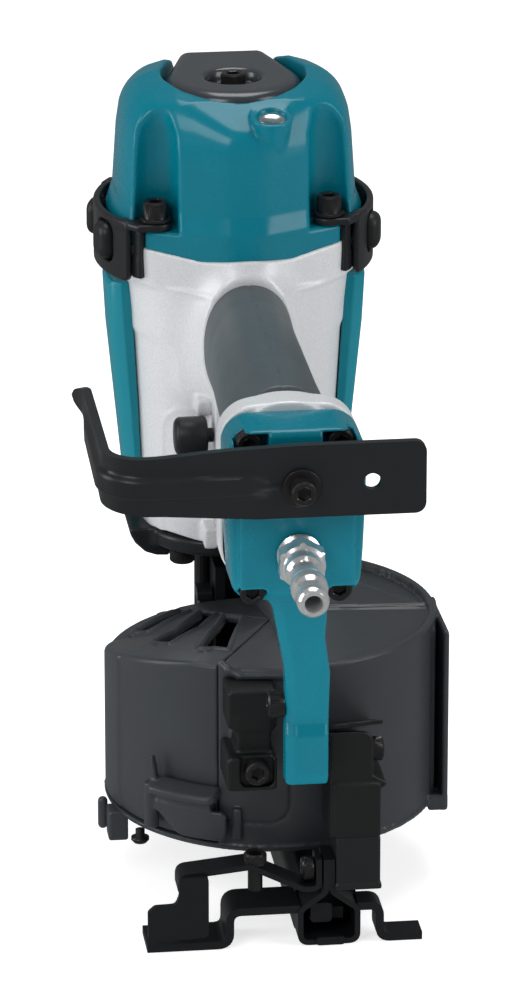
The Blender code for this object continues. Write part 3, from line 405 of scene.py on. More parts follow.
def make_looks():
    return {
        "teal": surface("teal_paint", (0, 0.17, 0.235), 0.27, 1.2, 0.012, 0.05, 0.25, coat=0.16),
        "panel": surface("teal_plastic", (0, 0.205, 0.27), 0.34, 0.8, 0.01, 0.05, 0.3, coat=0.05),
        "cast": surface("cast_silver", (0.70, 0.715, 0.735), 0.42, 0.5, 0.14, 0.17, metallic=0.2,
                        patch=0.7),
        "steel": surface("bright_steel", (0.62, 0.63, 0.64), 0.22, 0.4, 0.004, 0.05, metallic=1),
        "chrome": surface("chrome_plate", (0.92, 0.93, 0.94), 0.20, 0.8, 0.002, 0.03, metallic=0.82),
        "black": surface("black_steel", (0.012, 0.013, 0.0145), 0.34, 0.7, 0.02, 0.15, 0.4),
        "screw": surface("black_oxide", (0.010, 0.009, 0.009), 0.30, 0.4, 0.01),
        "plastic": surface("black_plastic", (0.014, 0.015, 0.017), 0.42, 0.5, 0.03, shine=0.4),
        "gloss": surface("dark_plastic", (0.034, 0.042, 0.050), 0.26, 0.8, 0.01, 0.08, coat=0.3),
        "rubber": surface("grip_rubber", (0.062, 0.078, 0.086), 0.46, 0.9, 0.03),
        "pad": surface("pad_rubber", (0.010, 0.011, 0.012), 0.44, 0.7, shine=0.4),
        "drum": surface("drum_plastic", (0.036, 0.041, 0.047), 0.38, 0.5, 0.03),
        "dark": surface("bracket_plastic", (0.008, 0.0085, 0.009), 0.42, shine=0.4),
        "foot": surface("coated_steel", (0.008, 0.009, 0.0105), 0.40, 0.7, shine=0.3),
        "seal": surface("seal_rubber", (0.010, 0.010, 0.010), 0.7, 0.5, mottle=0.1, shine=0.3),
    }


# ---- screws

def screw(name, seat, axis, shank, head, radius=4.25, flange=0, body="tool", extra=False):
    """A socket-head screw with a knurled rim, a chamfered socket and a plain shank below its seat."""
    along = Vector(axis).normalized()
    middle = Vector(seat)
    count = 72
    stations = [(-shank, 2.5), (0, 2.5)]
    if flange:
        stations += [(0, flange - 0.2), (0.2, flange), (1, flange), (1.2, flange - 0.2), (1.2, radius)]
    else:
        stations += [(0, radius - 0.3), (0.3, radius)]
    low = stations[-1][0] + 0.3
    rim = head - 0.6
    rings = [circle(middle + along * s, axis, r, count) for s, r in stations]
    for s in (low, rim):
        centre = middle + along * s
        ring = circle(centre, axis, radius, count)
        rings.append([centre + (p - centre) * (1 if k % 2 else 0.955) for k, p in enumerate(ring)])
    for s, r, *sides in ((rim, radius - 0.05), (head, radius - 0.6), (head, 2.75), (head - 0.35, 2.4, 6),
                         (head - 2.8, 2.4, 6), (head - 3.3, 0.4)):
        rings.append(circle(middle + along * s, axis, r, count, *sides))
    dress(crease(loft(name, rings)), "screw", body, extra)


# ---- cylinder cap

def facets(x, y):
    """Three flats towards the handle, shared by the cap and the barrel's flange."""
    flats = None
    for turn, far in ((0, 42.6), (26, 40.7), (-26, 40.7)):
        a = math.radians(-90 + turn)
        flat = x * math.cos(a) + y * math.sin(a) - far
        flats = flat if flats is None else meet(flats, flat, 0.8)
    return flats


def seam_lift(x, y):
    """The seam between cap and barrel climbs a little towards the rear screws."""
    return ramp(abs(x), (16, 36), (0, 3)) * ramp(y, (-24, -12), (1, 0))


def liner_block(x, y, z):
    """The rubber liner's thick ends, behind the strap's legs."""
    turn = heading(abs(x), abs(y))
    wall = both(slab(np.hypot(x, y), 42.4, 46.1), slab(z, 199.4, 216.3))
    return both(wall, slab(turn, 34.6, 39.4) * 0.8)


def cap_wall(x, y, z):
    """The cap's side wall: a squarish oval with three flat facets towards the handle."""
    inset = ramp(z, (207, 217.3, 223.5, 245, 252, 257, 264), (0, 0, 2.4, 3.8, 4.8, 6, 8))
    power = ramp(z, (214, 224), (2.15, 2.6))
    reach = (abs(x / 44.3) ** power + abs(y / 43) ** power) ** (1 / power)
    wall = (reach - 1) * 43.5 + inset
    back = ramp(z, (207, 217.3, 223.5, 245.5), (0, 0, 1.6, 3.1))
    flats = facets(x, y)
    chamfer = (flats + 3.1) * 0.965 + (z - 245.5) * 0.263
    return meet(wall, meet(flats + back, chamfer, 0.8), 2)


def cap_field(x, y, z):
    crown = ramp(y, (-38, -25, -10, 3, 20, 30, 42), (251.2, 260.7, 265, 266.8, 264.2, 260.8, 254))
    steep = ramp(y, (-30, -18), (0.81, 0.93))
    roof = (z - crown + ramp(abs(x), (16, 22, 28, 34, 40), (0, 0.7, 2.4, 4.4, 7))) * steep
    body = meet(cap_wall(x, y, z), CAP_BASE_Z + seam_lift(x, y) - z, 0.6)
    body = meet(body, roof, ramp(abs(x), (0, 18, 34), (2, 4, 6.5)))
    body = cut_out(body, liner_block(x, y, z) - 0.3, 0.4)
    rim = z - 0.186 * (y - VENT[1])
    boss = meet(disc(x, y, VENT, 7.2) + 0.35 * (257.2 - rim) - 0.4, rim - 257.2, 0.8)
    body = merge(body, meet(boss, 246 - z, 1), 1.6)
    body = cut_out(body, both(disc(x, y, VENT, 5.2), 256 - rim), 0.7)
    for bx, by in CAP_BOLTS:
        beyond = (y - by) * math.copysign(1, by)
        width = ramp(z, (240, 250, 257, 261), (7.3, 7, 5, 0.5))
        slot = np.where(beyond > 0, abs(x - bx), np.hypot(x - bx, y - by)) - width
        body = cut_out(body, both(slot, TAB_Z[0] - 0.3 - z), 1.8)
    recess = either(teardrop(x, y, 25.2, 60), both(abs(x) - 16.4, 30 - y))
    body = cut_out(body, both(recess, SEAT_Z - z), 1.4)
    return drill(body, both(disc(x, y, (0, 0), 31.5), z - 238))


def make_cap():
    mould("cylinder_cap", cap_field, (-45, -44, 207), (45, 44, 267), 0.65, "teal")
    profile = [(0.4, 4.8), (9.1, 4.8), (9.5, 4.4), (9.5, 3.4), (9.2, 3), (9.2, 0.2)]
    dress(turned("vent_plug", profile, (VENT[0], VENT[1] + 1.4, 247), (0, -0.183, 0.983)), "steel")


def teardrop(x, y, radius, end):
    """Round at the handle end, with straight sides that close in towards the front."""
    sides = abs(x) * 0.9646 + y * 0.2639 - radius
    return either(disc(x, y, (0, 0), radius), both(sides, both(6 - y, y - end)))


def deflector_field(x, y, z):
    plan = meet(teardrop(x, y, 23.8, 36), y - 36, 3)
    body = meet(plan, z - 262.5, 5)
    body = meet(body, SEAT_Z + 0.3 - z, 0.5)
    dish = disc(x, y, (0, 0), 0) - ramp(z, (258, 260, 262.5), (8.8, 9.2, 10))
    body = cut_out(body, both(dish, 258 - z), 1.6)
    duct = drill(both(teardrop(x, y, 21, 34), z - 255.8), disc(x, y, (0, 0), 6))
    mouth = brick(x, y, z, (-11.4, 20, 240), (11.4, 50, 259.3), 2)
    body = cut_out(body, either(duct, mouth), 0.8)
    return drill(body, both(disc(x, y, (0, 0), HOLE_R), z - 259))


def make_deflector():
    mould("exhaust_deflector", deflector_field, (-24.5, -24.5, 252), (24.5, 37, 263), 0.6, "gloss")
    screw("deflector_bolt", (0, 0, 258.3), (0, 0, 1), 16.5, 5.4)


# ---- bumpers

def make_bumpers():
    for k, (x, y) in enumerate(CAP_BOLTS):
        screw("cap_bolt_%d" % (k + 1), (x, y, TAB_Z[1] + 0.3), (0, 0, 1), 19.2, 7, flange=5.4)
    for sign, side in ((-1, "left"), (1, "right")):
        def strap_field(x, y, z):
            across = x * sign
            reach = np.hypot(x, y)
            turn = heading(across, abs(y))
            strap = rect((turn - STRAP_MIDDLE) * 0.82, z, (-60, 197.9), (14.6, TAB_Z[1]), 2.2)
            strap = meet(strap, slab(reach, 46.4, 48.8), 0.8)
            tabs = both(rect(across, abs(y), (24.4, 21.2), (52, 32), 5.2), reach - 48.6)
            tabs = meet(tabs, slab(z, *TAB_Z), 0.8)
            window = rect((turn - STRAP_MIDDLE) * 0.8, z, (-5.9, 202.4), (5.9, 216.6), 3.5)
            body = cut_out(merge(strap, tabs, 1.2), window, 0.8)
            return drill(body, disc(across, abs(y), (30, 27), HOLE_R))

        def pad_field(x, y, z):
            across = x * sign
            reach = np.hypot(x, y)
            turn = heading(across, abs(y))
            liner = meet(slab(reach, 44.8, 46.1), slab(z, 199.4, 206.4), 0.8)
            liner = meet(liner, (turn - 39) * 0.8, 1)
            liner = merge(liner, liner_block(x, y, z), 0.6)
            knob = rect((turn - STRAP_MIDDLE) * 0.86, z, (-5.4, 203), (5.4, 216), 4.2)
            knob = meet(knob, slab(reach, 45, 51.9), 4)
            return merge(liner, knob, 0.6)

        low = (-53, -40, 188) if sign < 0 else (22, -40, 188)
        high = (-22, 40, 221) if sign < 0 else (53, 40, 221)
        mould("bumper_bracket_" + side, strap_field, low, high, 0.55, "black")
        mould("side_bumper_" + side, pad_field, low, high, 0.6, "pad")


# ---- housing

def barrel_half(z):
    stations = (102.5, 109, 150, 185, 194.5, 197.5, 206.7)
    return (ramp(z, stations, (33, 34.5, 36.4, 38.4, 39.4, 43, 43.6)),
            ramp(z, stations, (33, 34.5, 36.6, 39, 40, 41.5, 42)))


def barrel_reach(u, v):
    """1 on the barrel's outline, where u and v are shares of its half-widths."""
    power = 2.1     # 2 would be an ellipse
    return (abs(u) ** power + abs(v) ** power) ** (1 / power)


def handle_shape(x, y, z, grow):
    """The handle's round core, a little taller than wide, sinking towards its end."""
    stations = (-141, -110, -60, -42)
    half_x = ramp(y, stations, (14.9, 13.6, 12.3, 12.6)) + grow
    half_z = ramp(y, stations, (19, 18.6, 19, 19.9)) + grow
    middle = ramp(y, stations, (174.5, 175.5, 177.9, 178.9))
    reach = (abs(x / half_x) ** 2.2 + abs((z - middle) / half_z) ** 2.2) ** (1 / 2.2)
    return (reach - 1) * (half_x + half_z) / 2


def housing_field(x, y, z):
    half_x, half_y = barrel_half(z)
    reach = barrel_reach(x / half_x, y / half_y)
    body = (reach - 1) * (half_x + half_y) / 2
    body = meet(body, facets(x, y) - ramp(z, (190, 197.5), (9, -0.3)), 1.2)
    body = meet(body, slab(z - seam_lift(x, y), BARREL_Z[0], BARREL_Z[1]), 0.7)
    body = cut_out(body, liner_block(x, y, z) - 0.3, 0.4)
    rear = y < 0
    shoulder = rect(x, z, (-24, 157), (24, 240), 7)
    wide = rect(x, z, (-60, 176), (60, 240), 5)
    raised = merge(shoulder, wide, 10)
    body = body - 0.9 * ramp(raised, (-1.2, 1.6), (1, 0)) * rear
    line = abs(rect(x, z, (-28, 60), (28, 152), 9))
    body = body - 0.35 * bead(line, 0.9) * rear
    handle = both(handle_shape(x, y, z, 0), slab(y, HANDLE_END_Y, 0))
    collar = both(meet(handle_shape(x, y, z, 3.4), -44.5 - y, 1.5), y + 10)
    body = merge(body, collar, 11)
    flange = rect(x, z, (-22.4, 133), (23.4, 193.6), 12)
    flange = meet(flange, slab(y, HANDLE_END_Y, -140), 1.2)
    body = merge(body, merge(handle, flange, 5), 1)
    boss = meet(disc(x, y, (0, -60), 12), slab(z, 150, 166), 0.8)
    ears = both(slab(abs(x), 9.3, 12.3), rect(y, z, (-50, 141), (-34, 166), 5))
    body = merge(merge(body, boss, 2), ears, 1.2)
    for low, high in (((-15, -40, 103), (-10.4, -26, 111)), ((-17.5, -41.5, 152.5), (-13, -28, 158.5))):
        body = merge(body, brick(x, y, z, low, high, 1), 1.5)
    chamber = both(disc(x, y, (0, 0), 33.5), 121 - z)
    bore = both(disc(x, y, (0, 0), 23.3), z - 125)
    inside = either(either(chamber, bore), both(handle_shape(x, y, z, -4.2), y))
    body = drill(body, inside)
    valve = both(disc(x, y, (0, -60), 8.3), 149 - z)
    body = drill(body, both(valve, z - 168))
    for bx, bz in END_BOLTS:
        body = drill(body, both(disc(x, z, (bx, bz), HOLE_R), y + 141.5))
    return body


def make_housing():
    mould("housing", housing_field, (-45, -151, 101), (45, 44, 211), 0.8, "cast")


def make_side_panels():
    """Moulded plates that hug the barrel's sides: a flat outer face, chamfers and square ends."""
    for sign, side in ((-1, "left"), (1, "right")):
        rings = []
        for z, thick in ((105.5, 2.6), (106.5, 3.4), (123, 4.2), (150, 5.6), (175, 6.6), (192, 6.2),
                         (193.6, 5.2)):
            half_x, half_y = barrel_half(np.array(z))
            outer = []
            inner = []
            for k in range(25):
                a = math.radians(-20 + 48 * k / 24)
                edge = min(2 * k / 24 / 0.22, 2 * (24 - k) / 24 / 0.22, 1)
                near = 1 / barrel_reach(math.cos(a) / half_x, math.sin(a) / half_y) + 0.5
                far = near + thick * (0.55 + 0.45 * edge)
                outer.append((sign * far * math.cos(a), far * math.sin(a), z))
                inner.append((sign * near * math.cos(a), near * math.sin(a), z))
            rings.append(outer + inner[::-1])
        dress(soften(loft("side_panel_" + side, rings), 0.7, 3, 28), "panel")


# ---- handle

def grip_field(x, y, z):
    seam = 0.35 * bead(x, 0.35) * (z > 178)
    body = meet(handle_shape(x, y, z, 2.9) + seam, y + 42.8, 1.2)
    tail = -139.5 + ramp(z, (154, 162, 176, 200), (-0.6, 0, 0, 0))
    body = meet(body, tail - y, 1.2)
    body = drill(body, handle_shape(x, y, z, 0.3))
    return cut_out(body, brick(x, y, z, (-13, -73, 120), (13, -38, 166), 3), 1)


def make_grip():
    mould("grip_sleeve", grip_field, (-19, -141, 150), (19, -41, 203), 0.7, "rubber")


ARM_STATIONS = (62.5, 65.5, 80.6, 84.6, 104, 118, 128, 138)


def arm_field(x, y, z):
    left = ramp(z, ARM_STATIONS, (-1.4, -1.4, -1.4, -1.2, -2, -4.6, -6.5, -9))
    right = ramp(z, ARM_STATIONS, (12.8, 12.8, 12.8, 13, 12.8, 10.6, 11, 12))
    rear = ramp(z, ARM_STATIONS, (-160.4, -160.4, -160.4, -158.6, -163.6, -167.4, -169, -170))
    front = ramp(z, ARM_STATIONS, (-149, -149, -149, -149, -153.6, -157, -155, -153))
    plan = meet(both(left - x, x - right), both(rear - y, y - front), 2.2)
    bevel = ((left - x) + (rear - y)) * 0.7071 + 2.2
    plan = meet(plan, bevel, 0.8)
    foot = both(62.5 - z, (64.5 - z) * 0.6 + (rear + 1.2 - y) * 0.8)
    return meet(plan, meet(foot, z - 142, 1), 1.4)


def end_cap_field(x, y, z):
    narrow = 1 + ramp(z, (134, 150, 170), (0.09, 0.04, 0))
    plan = rect(x * narrow, z, (-22.2, 130.6), (23.2, 192.2), 9.4)
    chin = (138.5 - z - 172 - y) * 0.7071
    body = meet(meet(plan, meet(FACE_Y - y, chin, 3), 3.2), y - CAP_FRONT_Y, 0.6)
    raised = rect(x, z, (-18.6, 137), (19.2, 170), 3.6)
    raised = meet(raised, slab(y, -175.4, -165), 1.6)
    body = merge(body, raised, 1.4)
    body = merge(body, arm_field(x, y, z), 3)
    for bx, bz in END_BOLTS:
        inward = -math.copysign(1, bx)
        if bz > 160:
            side = (x - bx) * inward
            notch = meet(meet(-side, side - 6.2, 1), slab(z + 0.4 * (6 - side), 182, 192.4), 1)
            pocket = both(merge(disc(x, z, (bx, bz), 5), notch, 0.6), z - 191)
        else:
            pocket = meet(disc(x, z, (bx, bz), 4.6), z - bz - 3, 1)
        body = cut_out(body, both(pocket, y - SEAT_Y), 0.9)
    cavity = both(rect(x, z, (-10.5, 148), (10.5, 182), 6), -164 - y)
    body = drill(body, cavity)
    plug = np.hypot(x - PLUG[0], (z - PLUG[2]) - 0.059 * (y - PLUG[1])) - 6.9
    body = cut_out(body, both(plug, y + 160), 0.8)
    body = drill(body, both(disc(x, z, HOOK_BOLT, HOLE_R), y + 166.6))
    return drill(body, both(disc(y, z, (-153, 89), 2.3), abs(x - 5) - 12))


def make_end_cap():
    outline = rounded([(-21.4, 133), (22.4, 133), (22.4, 191.4), (-21.4, 191.4)], 12)
    window = rounded([(-10.5, 146), (10.5, 146), (10.5, 182), (-10.5, 182)], 6)
    loops = ((outline, -151), (outline, -150), (window, -150), (window, -151))
    rings = [[(x, y, z) for x, z in line] for line, y in loops]
    dress(loft("end_gasket", rings, True), "seal")
    mould("end_cap", end_cap_field, (-24, -177, 59), (25, -147, 194), 0.6, "teal")
    for k, (x, z) in enumerate(END_BOLTS):
        screw("end_cap_bolt_%d" % (k + 1), (x, SEAT_Y - 0.3, z), (0, -1, 0), 22.5, 5)


def make_plug():
    tilt = math.radians(3.4)
    outer = [(0, 6.4), (6.5, 6.4)]
    for k in range(4):
        outer += [(6.5 + 0.9 * k, 7.4), (6.95 + 0.9 * k, 6.9)]
    outer += [(10.2, 6.9), (10.6, 7.4, 6), (11.2, 8.4, 6), (16.4, 8.4, 6), (17, 7.5), (17.6, 6.5),
              (19, 6.3), (21.5, 6), (22.6, 5.2), (23.6, 4.6), (26, 4.4), (29, 4.5), (30.2, 5.2),
              (31.2, 5.8), (32.4, 6.05), (35.4, 6.05), (36.6, 5.8), (37.8, 5.2), (39.4, 4.9), (41, 4.95),
              (43.4, 5.3), (44.4, 5.3), (45.8, 4.9), (46.6, 4.2), (46.8, 3.6)]
    bore = [(46.5, 3), (45.5, 2.7), (0, 2.7)]
    along = (-0.01, -math.cos(tilt), -math.sin(tilt))
    body = turned("air_plug", outer + bore, PLUG, along, 72, True)
    dress(crease(body, 28), "chrome")


# ---- hook

def hook_path():
    """The strip's centreline as (x, y, lower edge, upper edge), from its free end round the bend."""
    points = []
    for k in range(7):
        a = math.radians(90 * k / 6)
        inset = 3.6 * (1 - math.sin(a))
        points.append((41 - 3.6 * (1 - math.cos(a)), HOOK_Y, 166.6 + inset, 191.2 - inset))
    for x in range(34, -50, -3):
        points.append((x, HOOK_Y, float(ramp(x, (-46, -14), (168.9, 166.6))),
                       float(ramp(x, (-46, -24, 0), (188.5, 190.3, 191.2)))))
    for k in range(13):
        a = math.radians(-90 - 7.5 * k)
        points.append((-50 + 12 * math.cos(a), HOOK_Y + 12 + 12 * math.sin(a), 169 + 0.14 * k, 188.4))
    for t in (0.15, 0.3, 0.45, 0.6, 0.75, 0.88, 1):
        points.append((-62 - 0.3 * t, -170 + 56 * t, 170.7 + 9.7 * t ** 1.1, 188.4 + 0.8 * t))
    for k in range(1, 8):
        a = k / 7
        inset = 3.6 * (1 - math.sqrt(max(1 - a ** 2.4, 0)))
        points.append((-62.3 - 3.1 * a ** 1.5, -114 + 9 * a, 180.4 + a + inset,
                       189.2 - 0.8 * a - inset))
    return points


def make_hook():
    """A bent strip with one long bead pressed outward, from left of the bolt round into the arm."""
    points = hook_path()
    half = 1.5
    rings = []
    for i, (x, y, low, high) in enumerate(points):
        before = points[max(i - 1, 0)]
        after = points[min(i + 1, len(points) - 1)]
        way = Vector((after[0] - before[0], after[1] - before[1])).normalized()
        out = Vector((-way.y, way.x, 0))
        flat = y < HOOK_Y + 1
        run = -10 - x if flat else 40
        fade = 1 if flat else float(ramp(y, (-134, -118), (1, 0)))
        width = 4.2 * math.sqrt(max(min(run / 5, 1), 0)) + 0.01
        outer = []
        inner = []
        for k in range(31):
            z = low + (high - low) * k / 30
            shoulder = (abs(z - (low + high) / 2 + 0.6) - width + 1.3) / 1.3
            lift = 1.7 * fade * float(np.clip(1 - shoulder, 0, 1)) if run > 0 else 0
            mid = Vector((x, y, z))
            outer.append(mid + out * (half + lift))
            inner.append(mid - out * (half - lift))
        rings.append(outer + inner[::-1])
    body = loft("hook", rings)
    holes = [turned("hole", [(-188, HOLE_R), (-176, HOLE_R)], (x, 0, z), (0, 1, 0), 32)
             for x, z in (HOOK_BOLT, HOOK_HOLE)]
    cut(body, *holes)
    dress(soften(body, 0.5, 2, 50), "black")
    x, z = HOOK_BOLT
    profile = [(-180.2, HOLE_R), (-172.3, HOLE_R), (-172.3, 6.6), (-172.7, 7), (-179.8, 7), (-180.2, 6.6)]
    dress(turned("hook_spacer", profile, (x, 0, z), (0, 1, 0), 48, True), "screw")
    screw("hook_bolt", (x, HOOK_Y - 1.8, z), (0, -1, 0), 16.5, 7, flange=6.4)


# ---- trigger and nose

def make_trigger():
    outline = rounded([(-41.5, 149.6), (-47.6, 149.6), (-52, 146), (-66, 144.6), (-73, 142.4),
                       (-73.6, 139.4), (-66, 138.4), (-58.6, 135), (-53.4, 129), (-50, 123.6, 2),
                       (-46.2, 124.4, 2), (-46.6, 133), (-44, 141), (-41.5, 143.6)], 3)
    lever = prism("trigger", outline, -8, 8, "YZ")
    cut(lever, turned("hole", [(-9, 1.9), (9, 1.9)], (0, -45, 147), (1, 0, 0), 32))
    dress(soften(lever, 1, 4, 40), "plastic", "trigger_body")


def make_selector():
    y, z = -46, 147.5
    profile = [(-26, 4.6), (-25.8, 5.4), (-25.2, 6.2), (-24.2, 6.7), (-15.8, 6.7), (-15.1, 6.3),
               (-14.8, 5.6), (-14.8, 2.5), (-12.6, 2.5)]
    knob = turned("mode_selector", profile, (0, y, z), (1, 0, 0))
    outline = rounded([(y - 2.4, z), (y + 2.4, z), (y + 1.7, z - 10.5), (y - 1.7, z - 10.5)], 1)
    finger = prism("finger", outline, -24.5, -16.5, "YZ")
    dress(soften(join(knob, finger), 0.5, 2, 50), "pad", "selector")


def plate_field(x, y, z):
    plan = ((abs(x / 32.4) ** 2.3 + abs(y / 32) ** 2.3) ** (1 / 2.3) - 1) * 32
    body = meet(plan, slab(z, 96.5, 102.2), 1.6)
    under = ramp(x, (-38.6, -36.5, -33, -29, -25, -20), (100.4, 96.6, 93.2, 91.8, 91.6, 97))
    skid = both(slab(y, -14, 12), both(slab(x, -38.6, -19), z - 102.2))
    skid = meet(skid, (under - z) * 0.8, 1.2)
    body = merge(body, skid, 2)
    return drill(body, both(abs(x) - 4.3, abs(y) - 2.3))


def make_base_plate():
    mould("nose_base_plate", plate_field, (-39, -33, 91), (33, 33, 103), 0.8, "black")
    for k, (x, y) in enumerate(((-20.5, -19), (20.5, -19), (20.5, 19), (-20.5, 19))):
        screw("nose_bolt_%d" % (k + 1), (x, y, 96.3), (0, 0, -1), 4, 4.8, 4.5, extra=True)


def make_door_latch():
    outline = [(-11, 61), (-2.4, 61), (-2.4, 75), (-11, 75)]
    body = prism("door_latch", rounded(outline, 1.2), -13.6, -8.6, "YZ")
    outline = [(-11.6, 73), (-2.2, 73), (-2.2, 76), (-3.6, 77), (-10.2, 77), (-11.6, 76)]
    cap = prism("cap", rounded(outline, 0.8), -14.4, -9, "YZ")
    stub = turned("stub", [(-9, 1.2), (-5.2, 1.2)], (0, -6, 66), (1, 0, 0), 24)
    dress(soften(join(body, cap, stub), 0.4, 2), "black", "door_catch")


def make_dial():
    y = 15.5
    profile = [(33, 1.3), (33.3, 1.6), (46.3, 1.6), (46.3, 5.6), (46.9, 6.4)]
    rings = [circle((0, y, s), (0, 0, 1), r, 96) for s, r in profile]
    for s in (47.2, 51.4):
        ring = circle((0, y, s), (0, 0, 1), 6.8, 96)
        centre = Vector((0, y, s))
        rings.append([centre + (p - centre) * (1 if k % 4 < 2 else 0.93) for k, p in enumerate(ring)])
    profile = [(51.8, 6.2), (52.4, 5.4), (52.4, 1.6), (57.4, 1.6)]
    rings += [circle((0, y, s), (0, 0, 1), r, 96) for s, r in profile]
    dress(crease(loft("depth_dial", rings)), "steel", "dial")


def foot_field(x, y, z):
    reach = np.hypot(x, y)
    ring = meet(slab(reach, 7.6, 10.5), slab(z, 0, 16), 0.8)
    ring = meet(ring, (reach - 9.4) * 0.6 - z * 0.75, 0.5)
    stem = brick(x, y, z, (-5, 9, 6), (5, 12.4, 41.4), 1)
    nut = brick(x, y, z, (-5, 10.6, 30), (5, 19.5, 41.4), 1.4)
    body = merge(merge(ring, stem, 2.5), nut, 2)
    body = drill(body, both(reach - 7.6, z - 20))
    return drill(body, disc(x, y, (0, 15.5), 1.9))


def make_foot():
    mould("contact_foot", foot_field, (-11, -11, 0), (11, 20, 42.2), 0.6, "black", "foot")


def make_feed_cylinder():
    x, z = 17.5, 56
    profile = [(-9, 2.9), (-6, 2.9), (-6, 6.3), (15.8, 6.3), (16, 6.6), (16, 7.6), (15.6, 8), (13.6, 8),
               (13.4, 7.6), (-8, 7.6), (-9, 6.8)]
    dress(crease(turned("feed_cylinder", profile, (x, 0, z), (0, 1, 0), 64, True)), "cast")
    profile = [(12.6, 6.1), (16.4, 6.1), (16.8, 5.6), (16.8, 3), (15.4, 2.6, 6), (15.4, 0.2)]
    dress(turned("feed_plug", profile, (x, 0, z), (0, 1, 0)), "screw", extra=True)


# ---- magazine

# Corners of the three vents in the cover's roof, anticlockwise
VENTS = [[(-39.2, -47.2), (-36.6, -50.2), (-15.6, -27.6), (-17.6, -23.6)],
         [(-36.3, -76.8), (-32.7, -84.7), (-11, -43), (-13.8, -36)],
         [(-22.9, -100.4), (-15, -104), (-5.2, -60.4), (-9, -53.6)]]
HINGE = (-25.8, -18.2)


def ray(x, y, angle):
    """How far a point lies anticlockwise of one of the drum's radii."""
    a = math.radians(angle)
    return (y - DRUM[1]) * math.cos(a) - (x - DRUM[0]) * math.sin(a)


def roof(x, y):
    """Height of the drum's cone: a straight rise from an edge that climbs towards the handle end."""
    reach = np.maximum(np.hypot(x - DRUM[0], y - DRUM[1]), 0.5)
    edge_y = DRUM[1] + DRUM_R * (y - DRUM[1]) / reach
    edge = np.clip(76 - 0.26 * (55 + edge_y), 75, 92.4)
    return edge + (88.6 - edge) * (1 - reach / DRUM_R)


def polygon(u, v, corners, k):
    """Distance to a convex polygon, given anticlockwise, with corners rounded by k."""
    body = None
    for (u0, v0), (u1, v1) in zip(corners, corners[1:] + corners[:1]):
        edge = ((u - u0) * (v1 - v0) - (v - v0) * (u1 - u0)) / math.hypot(u1 - u0, v1 - v0)
        body = edge if body is None else meet(body, edge, k)
    return body


def rod(x, y, z, start, end, radius):
    """A bar with round ends between two points."""
    span = [b - a for a, b in zip(start, end)]
    away = [v - a for v, a in zip((x, y, z), start)]
    t = np.clip(sum(v * c for v, c in zip(away, span)) / sum(c * c for c in span), 0, 1)
    return np.sqrt(sum((v - t * c) ** 2 for v, c in zip(away, span))) - radius


def drum_point(radius, angle, z):
    a = math.radians(angle)
    return (DRUM[0] + radius * math.cos(a), DRUM[1] + radius * math.sin(a), z)


def knuckle(x, y, z, low, high, root):
    """A hinge eye between two heights, with a web to its root on the drum's wall."""
    rise = slab(z, low, high)
    web = both(rod(x, y, 0 * z, (*HINGE, 0), root, 1.6), rise)
    return merge(meet(disc(x, y, HINGE, 4.2), rise, 0.6), web, 1)


def cover_field(x, y, z):
    reach = disc(x, y, DRUM, 0)
    turn = heading(x - DRUM[0], y - DRUM[1]) % 360
    lift = (z - roof(x, y)) * 0.95
    band = 0.7 * ramp(turn, (197, 198.4), (1, 0))
    body = meet(reach - DRUM_R + 0.5 - band, lift, 1.8)
    body = meet(body, 28.6 - z, 0.8)
    lips = 0
    holes = None
    for corners in VENTS:
        vent = polygon(x, y, corners, 1.4)
        lips = lips + 0.9 * bead(vent - 1.3, 0.75)
        low, mid = corners[0], corners[1]
        spot = ((low[0] + mid[0]) / 2 - 3, (low[1] + mid[1]) / 2 - 2.4)
        lips = lips - bead(disc(x, y, spot, 0), 1.8)
        holes = vent if holes is None else either(holes, vent)
    body = body - lips * (lift > -2.2) * (lift < 2.2)
    body = cut_out(body, both(holes, 60 - z), 0.7)
    body = drill(body, both(reach - DRUM_INNER_R, lift + 2.4))
    body = both(body, both(-ray(x, y, 120.6), ray(x, y, 244.6)))
    body = merge(body, knuckle(x, y, z, 33.4, 62.6, drum_point(56, 124.5, 0)), 1)
    return drill(body, disc(x, y, HINGE, 2.1))


